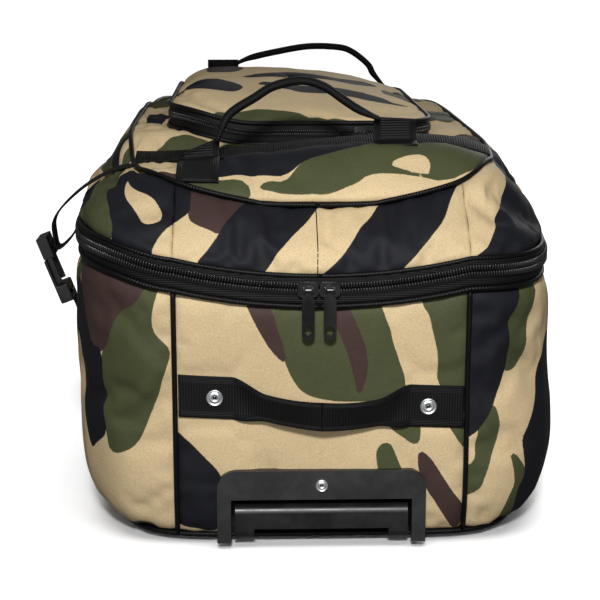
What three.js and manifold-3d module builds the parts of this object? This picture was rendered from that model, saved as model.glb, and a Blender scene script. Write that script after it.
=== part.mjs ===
// Rolling duffel bag: a wheeled lower box, a soft upper half that opens on a zip, a raised top flap,
// two carry handles, a riveted haul strap, and a two-stage trolley.
// Millimetres. X is to the right, +Y runs to the wheel end, +Z is up. The origin is the middle of the
// flat base plate's underside.
import * as THREE from "three";
import { mergeVertices } from "three/addons/utils/BufferGeometryUtils.js";
import Module from "manifold-3d";

const wasm = await Module();
wasm.setup();

// ---------- driving sizes ----------
const CLOTH = 3; // padded panel thickness
const GAP = 0.5; // clearance between neighbouring pieces
const PANEL_SEAM_X = 125; // the upright piped seams either side of each end panel
const FLOOR_Z = 4; // top of the base plate

const LOWER_TOP = 227; // top of the lower box's panels
const ZIP = { halfWidth: 217, front: 411, rear: 400, power: 6.5, z: 244, sag: 14, sagHalf: 125 };
const ZIP_BELOW = 15; // height of the lower tape under the teeth
const ZIP_ABOVE = 10; // height of the upper tape over the teeth
const SEAM = { halfWidth: 184, front: 356, rear: 364, power: 4.6 }; // top seam of the upper half
const FLAP = { x: -12, halfWidth: 128, front: 205, rear: 205, corner: 58, rimTop: 337, skirtTop: 346 };

const WHEEL = { x: 170, y: 385, z: 39, radius: 38, width: 24, axle: 4 };
const WELL = { radius: 43, halfWidth: 14.5 };

const TROLLEY = { halfWidth: 90, top: 70, z: 23, tubeX: 62, frontY: -411 };
const TUBE_OUTER = { w: 22, h: 16, length: 346 };
const TUBE_MID = { w: 18.6, h: 12.6, length: 344 };
const TUBE_INNER = { w: 15.2, h: 9.2, length: 344 };
const TUBE_WALL = 1.2;

const CARRY = { y: 285, webbing: 38, thick: 2.4 };
const HAUL = { rivetX: 91, z: 130, height: 38 };
const STRAP = { y: -255, width: 25, thick: 1.6 };
const STRAP_LIFT = 6.5; // the strap's middle over the padded top panel

// ---------- materials ----------
const surface = (color, roughness, metalness = 0) =>
  new THREE.MeshStandardMaterial({ color, roughness, metalness });
const CAMO_TAN = surface(0xb59b76, 0.9);
const CAMO_GREEN = surface(0x3a4226, 0.9);
const CAMO_BROWN = surface(0x33241f, 0.9);
const CAMO_BLACK = surface(0x14161f, 0.9);
const WEBBING = surface(0x121212, 0.85);
const LINING = surface(0x1b1b1d, 0.95);
const PLASTIC = surface(0x161616, 0.55);
const TEETH = surface(0x0c0c0c, 0.3);
const STEEL = surface(0xc9ccd0, 0.3, 1);
const ALUMINIUM = surface(0x8d9093, 0.4, 1);
const RUBBER = surface(0x1a1a1a, 0.75);
const BOARD = surface(0x222222, 0.7);

// ---------- geometry helpers ----------
const lerp = (a, b, t) => a + (b - a) * t;
const clamp = (v, lo, hi) => Math.min(hi, Math.max(lo, v));
const smooth = (a, b, v) => {
  const t = clamp((v - a) / (b - a), 0, 1);
  return t * t * (3 - 2 * t);
};

function closedGeometry(points, faces) {
  const geometry = new THREE.BufferGeometry();
  geometry.setAttribute("position", new THREE.Float32BufferAttribute(points.flat(), 3));
  geometry.setIndex(faces.flat());
  return signedVolume(geometry) < 0 ? flipped(geometry) : geometry;
}

function signedVolume(geometry) {
  const p = geometry.attributes.position;
  const index = geometry.index.array;
  const [a, b, c] = [new THREE.Vector3(), new THREE.Vector3(), new THREE.Vector3()];
  let total = 0;
  for (let i = 0; i < index.length; i += 3) {
    a.fromBufferAttribute(p, index[i]);
    b.fromBufferAttribute(p, index[i + 1]);
    c.fromBufferAttribute(p, index[i + 2]);
    total += a.dot(b.cross(c));
  }
  return total;
}

function flipped(geometry) {
  const index = Array.from(geometry.index.array);
  for (let i = 0; i < index.length; i += 3) [index[i], index[i + 1]] = [index[i + 1], index[i]];
  geometry.setIndex(index);
  return geometry;
}

// A closed slab between two grids of points, grid[row][column]. A wrapped slab closes on itself.
function slab(outer, inner, wrapped = false) {
  const rows = outer.length;
  const columns = outer[0].length;
  const points = [...outer.flat(), ...inner.flat()];
  const out = (r, c) => r * columns + (c % columns);
  const inn = (r, c) => rows * columns + out(r, c);
  const faces = [];
  const quad = (a, b, c, d) => faces.push([a, b, c], [a, c, d]);
  const spans = wrapped ? columns : columns - 1;
  for (let r = 0; r < rows - 1; r++) {
    for (let c = 0; c < spans; c++) {
      quad(out(r, c), out(r, c + 1), out(r + 1, c + 1), out(r + 1, c));
      quad(inn(r, c), inn(r + 1, c), inn(r + 1, c + 1), inn(r, c + 1));
    }
    if (!wrapped) {
      quad(out(r, 0), out(r + 1, 0), inn(r + 1, 0), inn(r, 0));
      quad(out(r, spans), inn(r, spans), inn(r + 1, spans), out(r + 1, spans));
    }
  }
  for (let c = 0; c < spans; c++) {
    quad(out(0, c), inn(0, c), inn(0, c + 1), out(0, c + 1));
    quad(out(rows - 1, c), out(rows - 1, c + 1), inn(rows - 1, c + 1), inn(rows - 1, c));
  }
  return closedGeometry(points, faces);
}

// A flat outline (list of [u, v]) extruded by a depth; place turns (u, v, w) into a point.
function prism(outline, depth, place) {
  const shape = new THREE.Shape(outline.map(([u, v]) => new THREE.Vector2(u, v)));
  const geometry = new THREE.ExtrudeGeometry(shape, { depth, bevelEnabled: false });
  return placed(geometry, place);
}

function placed(geometry, place) {
  const plain = bare(geometry);
  const p = plain.attributes.position;
  for (let i = 0; i < p.count; i++) p.setXYZ(i, ...place(p.getX(i), p.getY(i), p.getZ(i)));
  return signedVolume(plain) < 0 ? flipped(plain) : plain;
}

function bare(geometry) {
  const plain = geometry.clone();
  for (const name of Object.keys(plain.attributes)) if (name !== "position") plain.deleteAttribute(name);
  return mergeVertices(plain, 1e-4);
}

const alongX = (x0) => (u, v, w) => [x0 + w, u, v];
const alongY = (y0) => (u, v, w) => [u, y0 + w, v];
const alongZ = (z0) => (u, v, w) => [u, v, z0 + w];

function box(x0, x1, y0, y1, z0, z1) {
  const geometry = new THREE.BoxGeometry(x1 - x0, y1 - y0, z1 - z0);
  geometry.translate((x0 + x1) / 2, (y0 + y1) / 2, (z0 + z1) / 2);
  return bare(geometry);
}

function roundedRectangle(x0, x1, y0, y1, radius, steps = 4) {
  const corners = [
    [x1 - radius, y0 + radius, -Math.PI / 2],
    [x1 - radius, y1 - radius, 0],
    [x0 + radius, y1 - radius, Math.PI / 2],
    [x0 + radius, y0 + radius, Math.PI],
  ];
  const points = [];
  for (const [cx, cy, start] of corners) {
    for (let i = 0; i <= steps; i++) {
      const angle = start + (i / steps) * (Math.PI / 2);
      points.push([cx + radius * Math.cos(angle), cy + radius * Math.sin(angle)]);
    }
  }
  return points;
}

function cylinderX(radius, x0, x1, y, z, sides = 24) {
  const geometry = new THREE.CylinderGeometry(radius, radius, x1 - x0, sides);
  geometry.rotateZ(Math.PI / 2);
  geometry.translate((x0 + x1) / 2, y, z);
  return bare(geometry);
}

function cylinderY(radius, y0, y1, x, z, sides = 20) {
  const geometry = new THREE.CylinderGeometry(radius, radius, y1 - y0, sides);
  geometry.translate(x, (y0 + y1) / 2, z);
  return bare(geometry);
}

// A ring turned about the X axis, from profile points [x, radius] that close on themselves.
function ringX(profile, x, y, z, sides = 32) {
  const loop = [...profile, profile[0]].map(([along, radius]) => new THREE.Vector2(radius, along));
  const geometry = new THREE.LatheGeometry(loop, sides);
  return placed(geometry, (u, v, w) => [x + v, y + w, z + u]);
}

// ---------- booleans ----------
function toSolid(geometry) {
  const plain = bare(geometry);
  const vertProperties = new Float32Array(plain.attributes.position.array);
  const triVerts = new Uint32Array(plain.index.array);
  return new wasm.Manifold(new wasm.Mesh({ numProp: 3, vertProperties, triVerts }));
}

function toGeometry(solid) {
  const mesh = solid.getMesh();
  const geometry = new THREE.BufferGeometry();
  geometry.setAttribute("position", new THREE.BufferAttribute(new Float32Array(mesh.vertProperties), 3));
  geometry.setIndex(Array.from(mesh.triVerts));
  return geometry;
}

const cut = (geometry, ...tools) =>
  toGeometry(tools.reduce((solid, tool) => solid.subtract(toSolid(tool)), toSolid(geometry)));
const joined = (geometry, ...others) =>
  toGeometry(others.reduce((solid, other) => solid.add(toSolid(other)), toSolid(geometry)));

// ---------- the assembly ----------
const bag = new THREE.Group();
bag.name = "rolling_duffel_bag";

function add(name, geometry, material) {
  const mesh = new THREE.Mesh(geometry, material);
  mesh.name = name;
  bag.add(mesh);
}

const SIDES = [
  ["left", -1],
  ["right", 1],
];

// ---------- outlines in plan ----------
// A superellipse with its own front and rear reach; front is at -Y.
function outlineAt({ halfWidth, front, rear, power }, angle) {
  const c = Math.cos(angle);
  const s = Math.sin(angle);
  const reach = s < 0 ? front : rear;
  const e = 2 / power;
  return [halfWidth * Math.sign(c) * Math.abs(c) ** e, reach * Math.sign(s) * Math.abs(s) ** e];
}

const grown = (ring, by) => ({
  ...ring,
  halfWidth: ring.halfWidth + by,
  front: ring.front + by,
  rear: ring.rear + by,
});

// The angle on the front (sign -1) or rear (sign +1) where the outline is at a given x.
function angleAtX(ring, x, sign) {
  const c = Math.sign(x) * (Math.abs(x) / ring.halfWidth) ** (ring.power / 2);
  return sign * Math.acos(c);
}

// Points evenly spaced along the outline between two angles.
function evenPoints(ring, from, to, count) {
  const FINE = 600;
  const fine = Array.from({ length: FINE + 1 }, (_, i) => outlineAt(ring, lerp(from, to, i / FINE)));
  const lengths = [0];
  for (let i = 1; i <= FINE; i++) {
    lengths.push(lengths[i - 1] + Math.hypot(fine[i][0] - fine[i - 1][0], fine[i][1] - fine[i - 1][1]));
  }
  const result = [];
  let k = 1;
  for (let i = 0; i <= count; i++) {
    const want = (lengths[FINE] * i) / count;
    while (k < FINE && lengths[k] < want) k++;
    const t = (want - lengths[k - 1]) / (lengths[k] - lengths[k - 1]);
    result.push([lerp(fine[k - 1][0], fine[k][0], t), lerp(fine[k - 1][1], fine[k][1], t)]);
  }
  return result;
}

const WHOLE_LOOP = [-Math.PI / 2, 1.5 * Math.PI];
function loopPoints(ring, count) {
  return evenPoints(ring, ...WHOLE_LOOP, count).slice(0, count);
}

// The stretch of an outline that one panel covers: "front" and "rear" lie between the piped seams,
// "left" and "right" run round the corners between them, and the halves run on to the rear middle.
function panelPoints(ring, panel, count) {
  const edge = PANEL_SEAM_X - GAP / 2;
  const past = PANEL_SEAM_X + GAP / 2;
  const spans = {
    front: [angleAtX(ring, -edge, -1), angleAtX(ring, edge, -1)],
    rear: [angleAtX(ring, edge, 1), angleAtX(ring, -edge, 1)],
    right: [angleAtX(ring, past, -1), angleAtX(ring, past, 1)],
    left: [angleAtX(ring, -past, 1), 2 * Math.PI + angleAtX(ring, -past, -1)],
    "right half": [angleAtX(ring, past, -1), angleAtX(ring, GAP / 2, 1)],
    "left half": [angleAtX(ring, -GAP / 2, 1), 2 * Math.PI + angleAtX(ring, -past, -1)],
  };
  return evenPoints(ring, ...spans[panel], count);
}

// Where the soft bag's even shape settles: its left front corner and the flap's left side are drawn
// up, and its flanks lean in.
function settled([x, y, z]) {
  const right = smooth(110, 212, x) * smooth(60, 170, z);
  const left = smooth(-110, -200, x) * smooth(255, 300, z);
  const leanIn = 10 * left - 9 * right * (1 + smooth(250, 300, z));
  const corner = smooth(-120, -205, x) * (1 - smooth(-250, 150, y)) * smooth(140, 235, z);
  const cornerLift = 17 * corner * (1 - smooth(262, 314, z));
  const flapSide = smooth(-55, -135, x) * smooth(-265, -200, y) * (1 - 0.6 * smooth(80, 200, y));
  const flapLift = 14 * flapSide * smooth(290, 325, z + cornerLift);
  return [x + leanIn, y, z + cornerLift + flapLift];
}

const lifted = (points, height) => points.map(([x, y]) => settled([x, y, height(x, y)]));

// A panel lofted through rings that each give an outline and a height for every point.
// The inner skin keeps the height of the outer one, so the cloth can't turn inside out on a steep rise.
function panelSlab(rings, panel, count, thickness = CLOTH) {
  const outer = rings.map((ring) => lifted(panelPoints(ring, panel, count), ring.height));
  const inner = rings.map((ring) => {
    const edge = panelPoints(ring, panel, count);
    const points = panelPoints(grown(ring, -thickness), panel, count);
    return points.map(([x, y], k) => settled([x, y, ring.height(...edge[k])]));
  });
  return slab(outer, inner);
}

function loopSlab(rings, count, thickness = CLOTH) {
  const skin = (by) => rings.map((ring) => lifted(loopPoints(grown(ring, by), count), ring.height));
  return slab(skin(0), skin(-thickness), true);
}

const level = (z) => () => z;

// The zip dips in the middle of the front end and runs level round the rest.
function zipSag(x, y) {
  return y < 0 ? ZIP.sag * Math.max(0, 1 - (x / ZIP.sagHalf) ** 2) : 0;
}

// ---------- upper surface ----------
// Height of the upper half along its middle, from the rounded nose at the front seam over the hump
// to the rear.
function crestHeight(y) {
  const nose = Math.sqrt(1 - clamp((-298 - y) / 58, 0, 1) ** 2);
  const hump = 39 * (0.4 * smooth(-350, -298, y) + 0.6 * nose);
  return 291 + hump - 4 * smooth(-290, -245, y) - 19 * smooth(235, 365, y);
}

function shoulderHeight(y) {
  return 314 + 8 * smooth(-300, -150, y) - 4 * smooth(220, 365, y);
}

function topHeight(x, y) {
  const side = clamp(Math.abs(x / SEAM.halfWidth) ** 2.4, 0, 1);
  const slump = 17 * (x / SEAM.halfWidth) * smooth(-345, -290, y) * (1 - smooth(-262, -205, y));
  return lerp(crestHeight(y) + slump, shoulderHeight(y), side);
}

// ---------- wheels and their housings ----------
function housingOutline(by) {
  const points = [
    [334, 9],
    [331, 44],
    [343, 78],
    [368, 94],
    [396, 92],
    [408, 72],
    [409, 39],
    [398, 14],
  ];
  const [cy, cz] = [372, 50];
  return points.map(([y, z]) => {
    const length = Math.hypot(y - cy, z - cz);
    return [y + ((y - cy) / length) * by, z + ((z - cz) / length) * by];
  });
}
const HOUSING = { in: WHEEL.x - 19, out: WHEEL.x + 20 };

function housingEnvelope(sign) {
  const clear = 1.2;
  const x0 = sign > 0 ? HOUSING.in - clear : -HOUSING.out - 30;
  const width = HOUSING.out - HOUSING.in + clear + 30;
  return prism(housingOutline(clear), width, alongX(x0));
}

function buildWheel(side, sign) {
  const x = sign * WHEEL.x;
  const x0 = sign > 0 ? HOUSING.in : -HOUSING.out;
  const shell = prism(housingOutline(0), HOUSING.out - HOUSING.in, alongX(x0));
  const well = cylinderX(WELL.radius, x - WELL.halfWidth, x + WELL.halfWidth, WHEEL.y, WHEEL.z, 32);
  const mouth = box(x - WELL.halfWidth, x + WELL.halfWidth, WHEEL.y - 33, 460, -20, WHEEL.z);
  const bore = cylinderX(WHEEL.axle + 0.4, x - 40, x + 40, WHEEL.y, WHEEL.z);
  add(`wheel_housing_${side}`, cut(shell, well, mouth, bore), PLASTIC);
  add(`axle_${side}`, cylinderX(WHEEL.axle, x - 18.5, x + 18.5, WHEEL.y, WHEEL.z), STEEL);

  const half = WHEEL.width / 2;
  const tyre = [
    [-half, 27],
    [half, 27],
    [half, 34],
    [half - 3.5, WHEEL.radius],
    [-half + 3.5, WHEEL.radius],
    [-half, 34],
  ];
  add(`wheel_tyre_${side}`, ringX(tyre, x, WHEEL.y, WHEEL.z), RUBBER);
  const hub = [
    [-half, 9.5],
    [half, 9.5],
    [half, 13],
    [half - 5, 14],
    [half - 5, 22],
    [half - 1, 24],
    [half - 1, 26.6],
    [-half + 1, 26.6],
    [-half + 1, 24],
    [-half + 5, 22],
    [-half + 5, 14],
    [-half, 13],
  ];
  add(`wheel_hub_${side}`, ringX(hub, x, WHEEL.y, WHEEL.z, 24), PLASTIC);
  const bearing = [
    [-half, WHEEL.axle + 0.4],
    [half, WHEEL.axle + 0.4],
    [half, 9.1],
    [-half, 9.1],
  ];
  add(`wheel_bearing_${side}`, ringX(bearing, x, WHEEL.y, WHEEL.z, 24), STEEL);
}

// ---------- lower box ----------
const BASE_RING = { halfWidth: 186, front: 394, rear: 388, power: 6.5 };
const lowerRings = [
  { ...BASE_RING, height: level(FLOOR_Z + 4) },
  { halfWidth: 200, front: 400, rear: 395, power: 6.5, height: level(24) },
  { halfWidth: 206, front: 402, rear: 397, power: 6.5, height: level(46) },
  { halfWidth: 213, front: 404, rear: 398, power: 6.5, height: level(125) },
  { halfWidth: 215, front: 408, rear: 398, power: 6.5, height: (x, y) => LOWER_TOP - zipSag(x, y) },
];

function buildLowerBox() {
  add("base_plate", prism(roundedRectangle(-118, 118, -366, 322, 18), FLOOR_Z, alongZ(0)), PLASTIC);

  const wells = SIDES.map(([, sign]) => housingEnvelope(sign));
  const trolleyBay = box(-84, 84, -500, -371, -20, 62);
  const basePoints = loopPoints(grown(BASE_RING, -4), 56);
  const base = prism(basePoints, 2.6, alongZ(FLOOR_Z + GAP));
  add("base_panel", cut(base, ...wells, trolleyBay), CAMO_BLACK);

  const board = prism(loopPoints(grown(BASE_RING, -CLOTH - 4), 40), 2, alongZ(FLOOR_Z + 4));
  add("floor_board", cut(board, ...wells, trolleyBay), BOARD);

  const front = panelSlab(lowerRings, "front", 12);
  add("lower_front_panel", cut(front, trolleyBay), CAMO_TAN);
  add("lower_rear_panel", panelSlab(lowerRings, "rear", 10), CAMO_GREEN);
  add("lower_side_left", cut(panelSlab(lowerRings, "left", 30), ...wells), CAMO_BROWN);
  add("lower_side_right", cut(panelSlab(lowerRings, "right", 30), ...wells), CAMO_GREEN);
}

// ---------- zip round the bag ----------
function zipRing(by, lift) {
  return { ...grown(ZIP, by), height: (x, y) => ZIP.z + lift - zipSag(x, y) };
}

function buildMainZip() {
  const lower = [
    { ...grown(ZIP, -1), height: (x, y) => LOWER_TOP + 5 * GAP - zipSag(x, y) },
    zipRing(0, -ZIP_BELOW + 5),
    zipRing(0, -5),
    zipRing(1.6, -4.6),
    zipRing(1.6, -0.2),
  ];
  add("zip_tape_lower", loopSlab(lower, 64, 2.4), TEETH);
  const upper = [zipRing(1.6, 0.2), zipRing(1.6, 4.6), zipRing(0, 5), zipRing(-2, ZIP_ABOVE)];
  add("zip_tape_upper", loopSlab(upper, 64, 2.4), TEETH);
}

// ---------- zip sliders ----------
// A slider is a plate in front of the teeth with two posts that hold a bar; its pull hangs on the bar.
const MAIN_SLIDER = { length: 17, height: 13, depth: 4, bar: 0.9, barrel: 2.5, tab: 2.4, plate: 2.4 };
const MEET_X = -3; // where the two sliders meet
const mainSliderY = -(ZIP.front + 1.6 + GAP); // the slider's back face
const mainSliderZ = ZIP.z - ZIP.sag;

const barY = (size, backY) => backY - size.depth - size.barrel - 0.7;

function sliderBody(size, x, backY, z) {
  const { length, height, depth, bar, tab } = size;
  const plate = roundedRectangle(x - length / 2, x + length / 2, z - height / 2, z + height / 2, 3);
  const y = barY(size, backY);
  const posts = SIDES.map(([, sign]) => {
    const [near, far] = [x + sign * (tab + 0.5), x + sign * (tab + 2.1)];
    return box(Math.min(near, far), Math.max(near, far), y - 1.5, backY - 1, z - 1.6, z + 1.6);
  });
  const pin = cylinderX(bar, x - tab - 1, x + tab + 1, y, z, 12);
  return joined(prism(plate, depth, alongY(backY - depth)), ...posts, pin);
}

// The pull hangs straight down from the bar: a barrel on the bar and a plate with a finger hole.
function pullBody(size, x, y, z, outline, holeRadius, holeDrop) {
  const barrel = [
    [-size.tab, size.bar + 0.35],
    [size.tab, size.bar + 0.35],
    [size.tab, size.barrel],
    [-size.tab, size.barrel],
  ];
  const plate = prism(outline, size.plate, alongY(y - size.plate / 2));
  const clearance = cylinderX(size.bar + 0.35, x - 9, x + 9, y, z, 16);
  const hole = cylinderY(holeRadius, y - 5, y + 5, x, z - holeDrop, 16);
  return joined(cut(plate, clearance, hole), ringX(barrel, x, y, z, 16));
}

function pullOutline(x, z, neck, half, shoulder, length, chamfer) {
  return [
    [x - neck, z],
    [x - neck, z - shoulder + 2],
    [x - half, z - shoulder],
    [x - half, z - length + chamfer],
    [x - half + chamfer, z - length],
    [x + half - chamfer, z - length],
    [x + half, z - length + chamfer],
    [x + half, z - shoulder],
    [x + neck, z - shoulder + 2],
    [x + neck, z],
  ];
}

function buildMainSlider(side, sign) {
  const x = MEET_X + sign * (MAIN_SLIDER.length / 2 + 0.6);
  add(`slider_${side}`, sliderBody(MAIN_SLIDER, x, mainSliderY, mainSliderZ), TEETH);
  const y = barY(MAIN_SLIDER, mainSliderY);
  const outline = pullOutline(x, mainSliderZ, MAIN_SLIDER.tab, 5.3, 7, 42, 3);
  add(`pull_${side}`, pullBody(MAIN_SLIDER, x, y, mainSliderZ, outline, 3.3, 34), TEETH);
}

// ---------- upper half ----------
const gussetFoot = { ...grown(ZIP, -2), height: (x, y) => ZIP.z + ZIP_ABOVE + GAP - zipSag(x, y) };
const gussetMid = {
  halfWidth: 207,
  front: 394,
  rear: 388,
  power: 5.4,
  height: (x, y) => lerp(ZIP.z + ZIP_ABOVE, topHeight(x, y), 0.45) - 0.6 * zipSag(x, y),
};
const gussetHead = { ...SEAM, height: (x, y) => topHeight(x, y) };

// Plan outline of the raised flap, its straight sides split up too; inset moves it inwards.
const STRAIGHT_STEPS = 5;
function flapOutline(inset) {
  const corners = roundedRectangle(
    FLAP.x - FLAP.halfWidth + inset,
    FLAP.x + FLAP.halfWidth - inset,
    -FLAP.front + inset,
    FLAP.rear - inset,
    FLAP.corner - inset,
    5,
  );
  return corners.flatMap((point, i) => {
    const next = corners[(i + 1) % corners.length];
    const straight = i % 6 === 5;
    const steps = straight ? STRAIGHT_STEPS : 1;
    return Array.from({ length: steps }, (_, k) => [
      lerp(point[0], next[0], k / steps),
      lerp(point[1], next[1], k / steps),
    ]);
  });
}

function buildUpperHalf() {
  const rings = [gussetFoot, gussetMid, gussetHead];
  add("upper_front_gusset", panelSlab(rings, "front", 12), CAMO_BLACK);
  add("upper_side_left", panelSlab(rings, "left half", 32), CAMO_GREEN);
  add("upper_side_right", panelSlab(rings, "right half", 32), CAMO_TAN);

  // The top panel runs from just inside the gussets to the foot of the raised flap's rim.
  const hole = flapOutline(-2);
  const border = hole.map(([x, y]) => borderPoint(grown(SEAM, -CLOTH - 1), Math.atan2(y, x)));
  const STEPS = 7;
  const sheetAt = (drop) =>
    Array.from({ length: STEPS + 1 }, (_, i) =>
      hole.map((inside, k) => {
        const x = lerp(border[k][0], inside[0], i / STEPS);
        const y = lerp(border[k][1], inside[1], i / STEPS);
        return settled([x, y, topHeight(x, y) - drop]);
      }),
    );
  add("upper_top_panel", slab(sheetAt(0), sheetAt(CLOTH), true), CAMO_GREEN);

  // The divider stays clear of the zip tape, whose right side leans in.
  const dividerRing = { ...ZIP, halfWidth: ZIP.halfWidth - 18, front: ZIP.front - 28, rear: ZIP.rear - 7 };
  const floorPoints = loopPoints(dividerRing, 48);
  add("divider_panel", prism(floorPoints, 1.6, alongZ(ZIP.z + 0.6)), LINING);
}

// Where a ray from the middle at this heading meets an outline.
function borderPoint(ring, heading) {
  const [dx, dy] = [Math.cos(heading), Math.sin(heading)];
  const reach = dy < 0 ? ring.front : ring.rear;
  const across = (Math.abs(dx) / ring.halfWidth) ** ring.power;
  const along = (Math.abs(dy) / reach) ** ring.power;
  const scale = (across + along) ** (-1 / ring.power);
  return [dx * scale, dy * scale];
}

// ---------- raised flap on top ----------
const rimFoot = (x, y) => topHeight(x, y) - 2;

function ringSlab(levels, thickness) {
  const row = (inset, height) => lifted(flapOutline(inset), height);
  const outer = levels.map(([inset, height]) => row(inset, height));
  const inner = levels.map(([inset, height]) => row(inset + thickness, height));
  return slab(outer, inner, true);
}

function flapHeight(x, y) {
  const u = (x - FLAP.x) / FLAP.halfWidth;
  const v = y / FLAP.front;
  const across = Math.max(0, 1 - Math.abs(u) ** 2.6) * (1 - 0.35 * u);
  const along = Math.max(0, 1 - Math.abs(v) ** 3.5) * (1 + 0.25 * v);
  return FLAP.skirtTop + 26 * across * along;
}

function buildFlap() {
  const rim = [
    [0, rimFoot],
    [0, level(FLAP.rimTop - 4)],
    [-1.4, level(FLAP.rimTop - 3.6)],
    [-1.4, level(FLAP.rimTop - 0.2)],
  ];
  add("flap_rim", ringSlab(rim, 2.6), TEETH);

  const skirt = [
    [-1.4, level(FLAP.rimTop + 0.2)],
    [-1.4, level(FLAP.rimTop + 3.6)],
    [0, level(FLAP.rimTop + 4)],
    [0, level(FLAP.skirtTop)],
  ];
  const skirtRows = skirt.map(([inset, height]) => lifted(flapOutline(inset), height));
  const underHeight = (height) => (x, y) => Math.min(height(x, y), FLAP.skirtTop - 3);
  const underRows = skirt.map(([inset, height]) => lifted(flapOutline(inset + 2.6), underHeight(height)));
  // The domed top closes over the skirt; both skins shrink to the middle line.
  const DOME = [0.88, 0.7, 0.45, 0.2];
  const shrunk = (inset, factor, drop) =>
    flapOutline(inset).map(([x, y]) => {
      const [sx, sy] = [lerp(FLAP.x, x, factor), y * factor];
      return settled([sx, sy, flapHeight(sx, sy) - drop]);
    });
  const outer = [...skirtRows, ...DOME.map((f) => shrunk(0, f, 0))];
  const inner = [...underRows, ...DOME.map((f) => shrunk(2.6, f, 3))];
  add("top_flap", cappedShell(outer, inner, [FLAP.x, 0, flapHeight(FLAP.x, 0)]), CAMO_TAN);
}

// Two nested bowls of rings joined at their rims and closed by a point at the crown of each.
function cappedShell(outer, inner, crown) {
  const columns = outer[0].length;
  const rows = outer.length;
  const [x, y, z] = crown;
  const points = [...outer.flat(), ...inner.flat(), crown, [x, y, z - 3]];
  const out = (r, c) => r * columns + (c % columns);
  const inn = (r, c) => rows * columns + out(r, c);
  const [tip, underTip] = [points.length - 2, points.length - 1];
  const faces = [];
  const quad = (a, b, c, d) => faces.push([a, b, c], [a, c, d]);
  for (let c = 0; c < columns; c++) {
    for (let r = 0; r < rows - 1; r++) {
      quad(out(r, c), out(r, c + 1), out(r + 1, c + 1), out(r + 1, c));
      quad(inn(r, c), inn(r + 1, c), inn(r + 1, c + 1), inn(r, c + 1));
    }
    quad(out(0, c), inn(0, c), inn(0, c + 1), out(0, c + 1));
    faces.push([out(rows - 1, c), out(rows - 1, c + 1), tip]);
    faces.push([inn(rows - 1, c + 1), inn(rows - 1, c), underTip]);
  }
  return closedGeometry(points, faces);
}

const FLAP_SLIDER = { length: 14, height: 10, depth: 3.2, bar: 0.8, barrel: 2.1, tab: 2, plate: 1.8 };
const FLAP_SLIDER_X = 45;
const FLAP_PULL_LEAN = -75; // degrees; the pull rests outwards over the top panel

function buildFlapSlider() {
  const backY = -(FLAP.front + 1.4 + GAP);
  const z = FLAP.rimTop;
  add("flap_slider", sliderBody(FLAP_SLIDER, FLAP_SLIDER_X, backY, z), TEETH);
  const y = barY(FLAP_SLIDER, backY);
  const outline = pullOutline(FLAP_SLIDER_X, z, FLAP_SLIDER.tab, 4, 6, 20, 2);
  const hanging = pullBody(FLAP_SLIDER, FLAP_SLIDER_X, y, z, outline, 1.8, 14.5);
  const lean = (FLAP_PULL_LEAN * Math.PI) / 180;
  const [cos, sin] = [Math.cos(lean), Math.sin(lean)];
  const leaning = (u, v, w) => [u, y + (v - y) * cos - (w - z) * sin, z + (v - y) * sin + (w - z) * cos];
  add("flap_pull", placed(hanging, leaning), TEETH);
}

// ---------- webbing ----------
// A flat ribbon that follows a path in the XZ plane, its width along Y; widthAt gives the width at a
// share of the way along.
function ribbon(path, y, widthAt, thickness) {
  const edge = (i) => widthAt(i / (path.length - 1)) / 2;
  const side = (offset, sign) =>
    path.map(([x, z], i) => {
      const before = path[Math.max(0, i - 1)];
      const after = path[Math.min(path.length - 1, i + 1)];
      const [tx, tz] = [after[0] - before[0], after[1] - before[1]];
      const length = Math.hypot(tx, tz);
      return [x - (tz / length) * offset, y + sign * edge(i), z + (tx / length) * offset];
    });
  const grid = (offset) => [side(offset, -1), side(offset, 1)];
  return slab(grid(thickness / 2), grid(-thickness / 2));
}

function curvePath(points, count) {
  const curve = new THREE.CatmullRomCurve3(points.map(([x, z]) => new THREE.Vector3(x, 0, z)));
  return curve.getSpacedPoints(count).map((p) => [p.x, p.z]);
}

// Each handle swings on the line between its two tabs: pivot is its height at x = 0 and its slope.
const FRONT_HANDLE = {
  y: -CARRY.y + 4,
  pivot: { z: 352, slope: 0.137 },
  tabs: [-125, 51],
  arch: [
    [-89, 342],
    [-85, 349],
    [-77, 363],
    [-55, 377],
    [-38, 387],
    [-14, 392],
    [6, 387],
    [24, 375],
    [38, 366],
    [54, 361],
  ],
};
const REAR_HANDLE = {
  y: CARRY.y,
  pivot: { z: 359, slope: -0.177 },
  tabs: [-112, 94],
  arch: [
    [-78, 373],
    [-60, 375],
    [-30, 382],
    [12, 389],
    [50, 388],
    [68, 382],
    [87, 367],
    [96, 354],
    [111, 341],
  ],
};
const HANDLE = { width: 16, foot: 4, thick: 6, tabClear: 5.2 };

function buildCarryHandle(name, { y, pivot, tabs, arch }) {
  const tabTop = (x) => pivot.z + pivot.slope * x - HANDLE.tabClear;
  for (const [index, x0] of tabs.entries()) {
    const [side] = SIDES[index];
    const x1 = x0 + CARRY.webbing;
    const ground = (x) => settled([x, y, topHeight(x, y)])[2] + 2 * GAP;
    const outline = [
      [x0, ground(x0)],
      [(x0 + x1) / 2, ground((x0 + x1) / 2)],
      [x1, ground(x1)],
      [x1, tabTop(x1)],
      [x0, tabTop(x0)],
    ];
    add(`${name}_tab_${side}`, prism(outline, CARRY.thick, alongY(y - CARRY.thick / 2)), WEBBING);
  }
  const widthAt = (share) => lerp(HANDLE.foot, HANDLE.width, smooth(0, 0.12, Math.min(share, 1 - share)));
  add(`${name}_handle`, ribbon(curvePath(arch, 24), y, widthAt, HANDLE.thick), WEBBING);
}

const strapWidth = () => STRAP.width;

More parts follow.
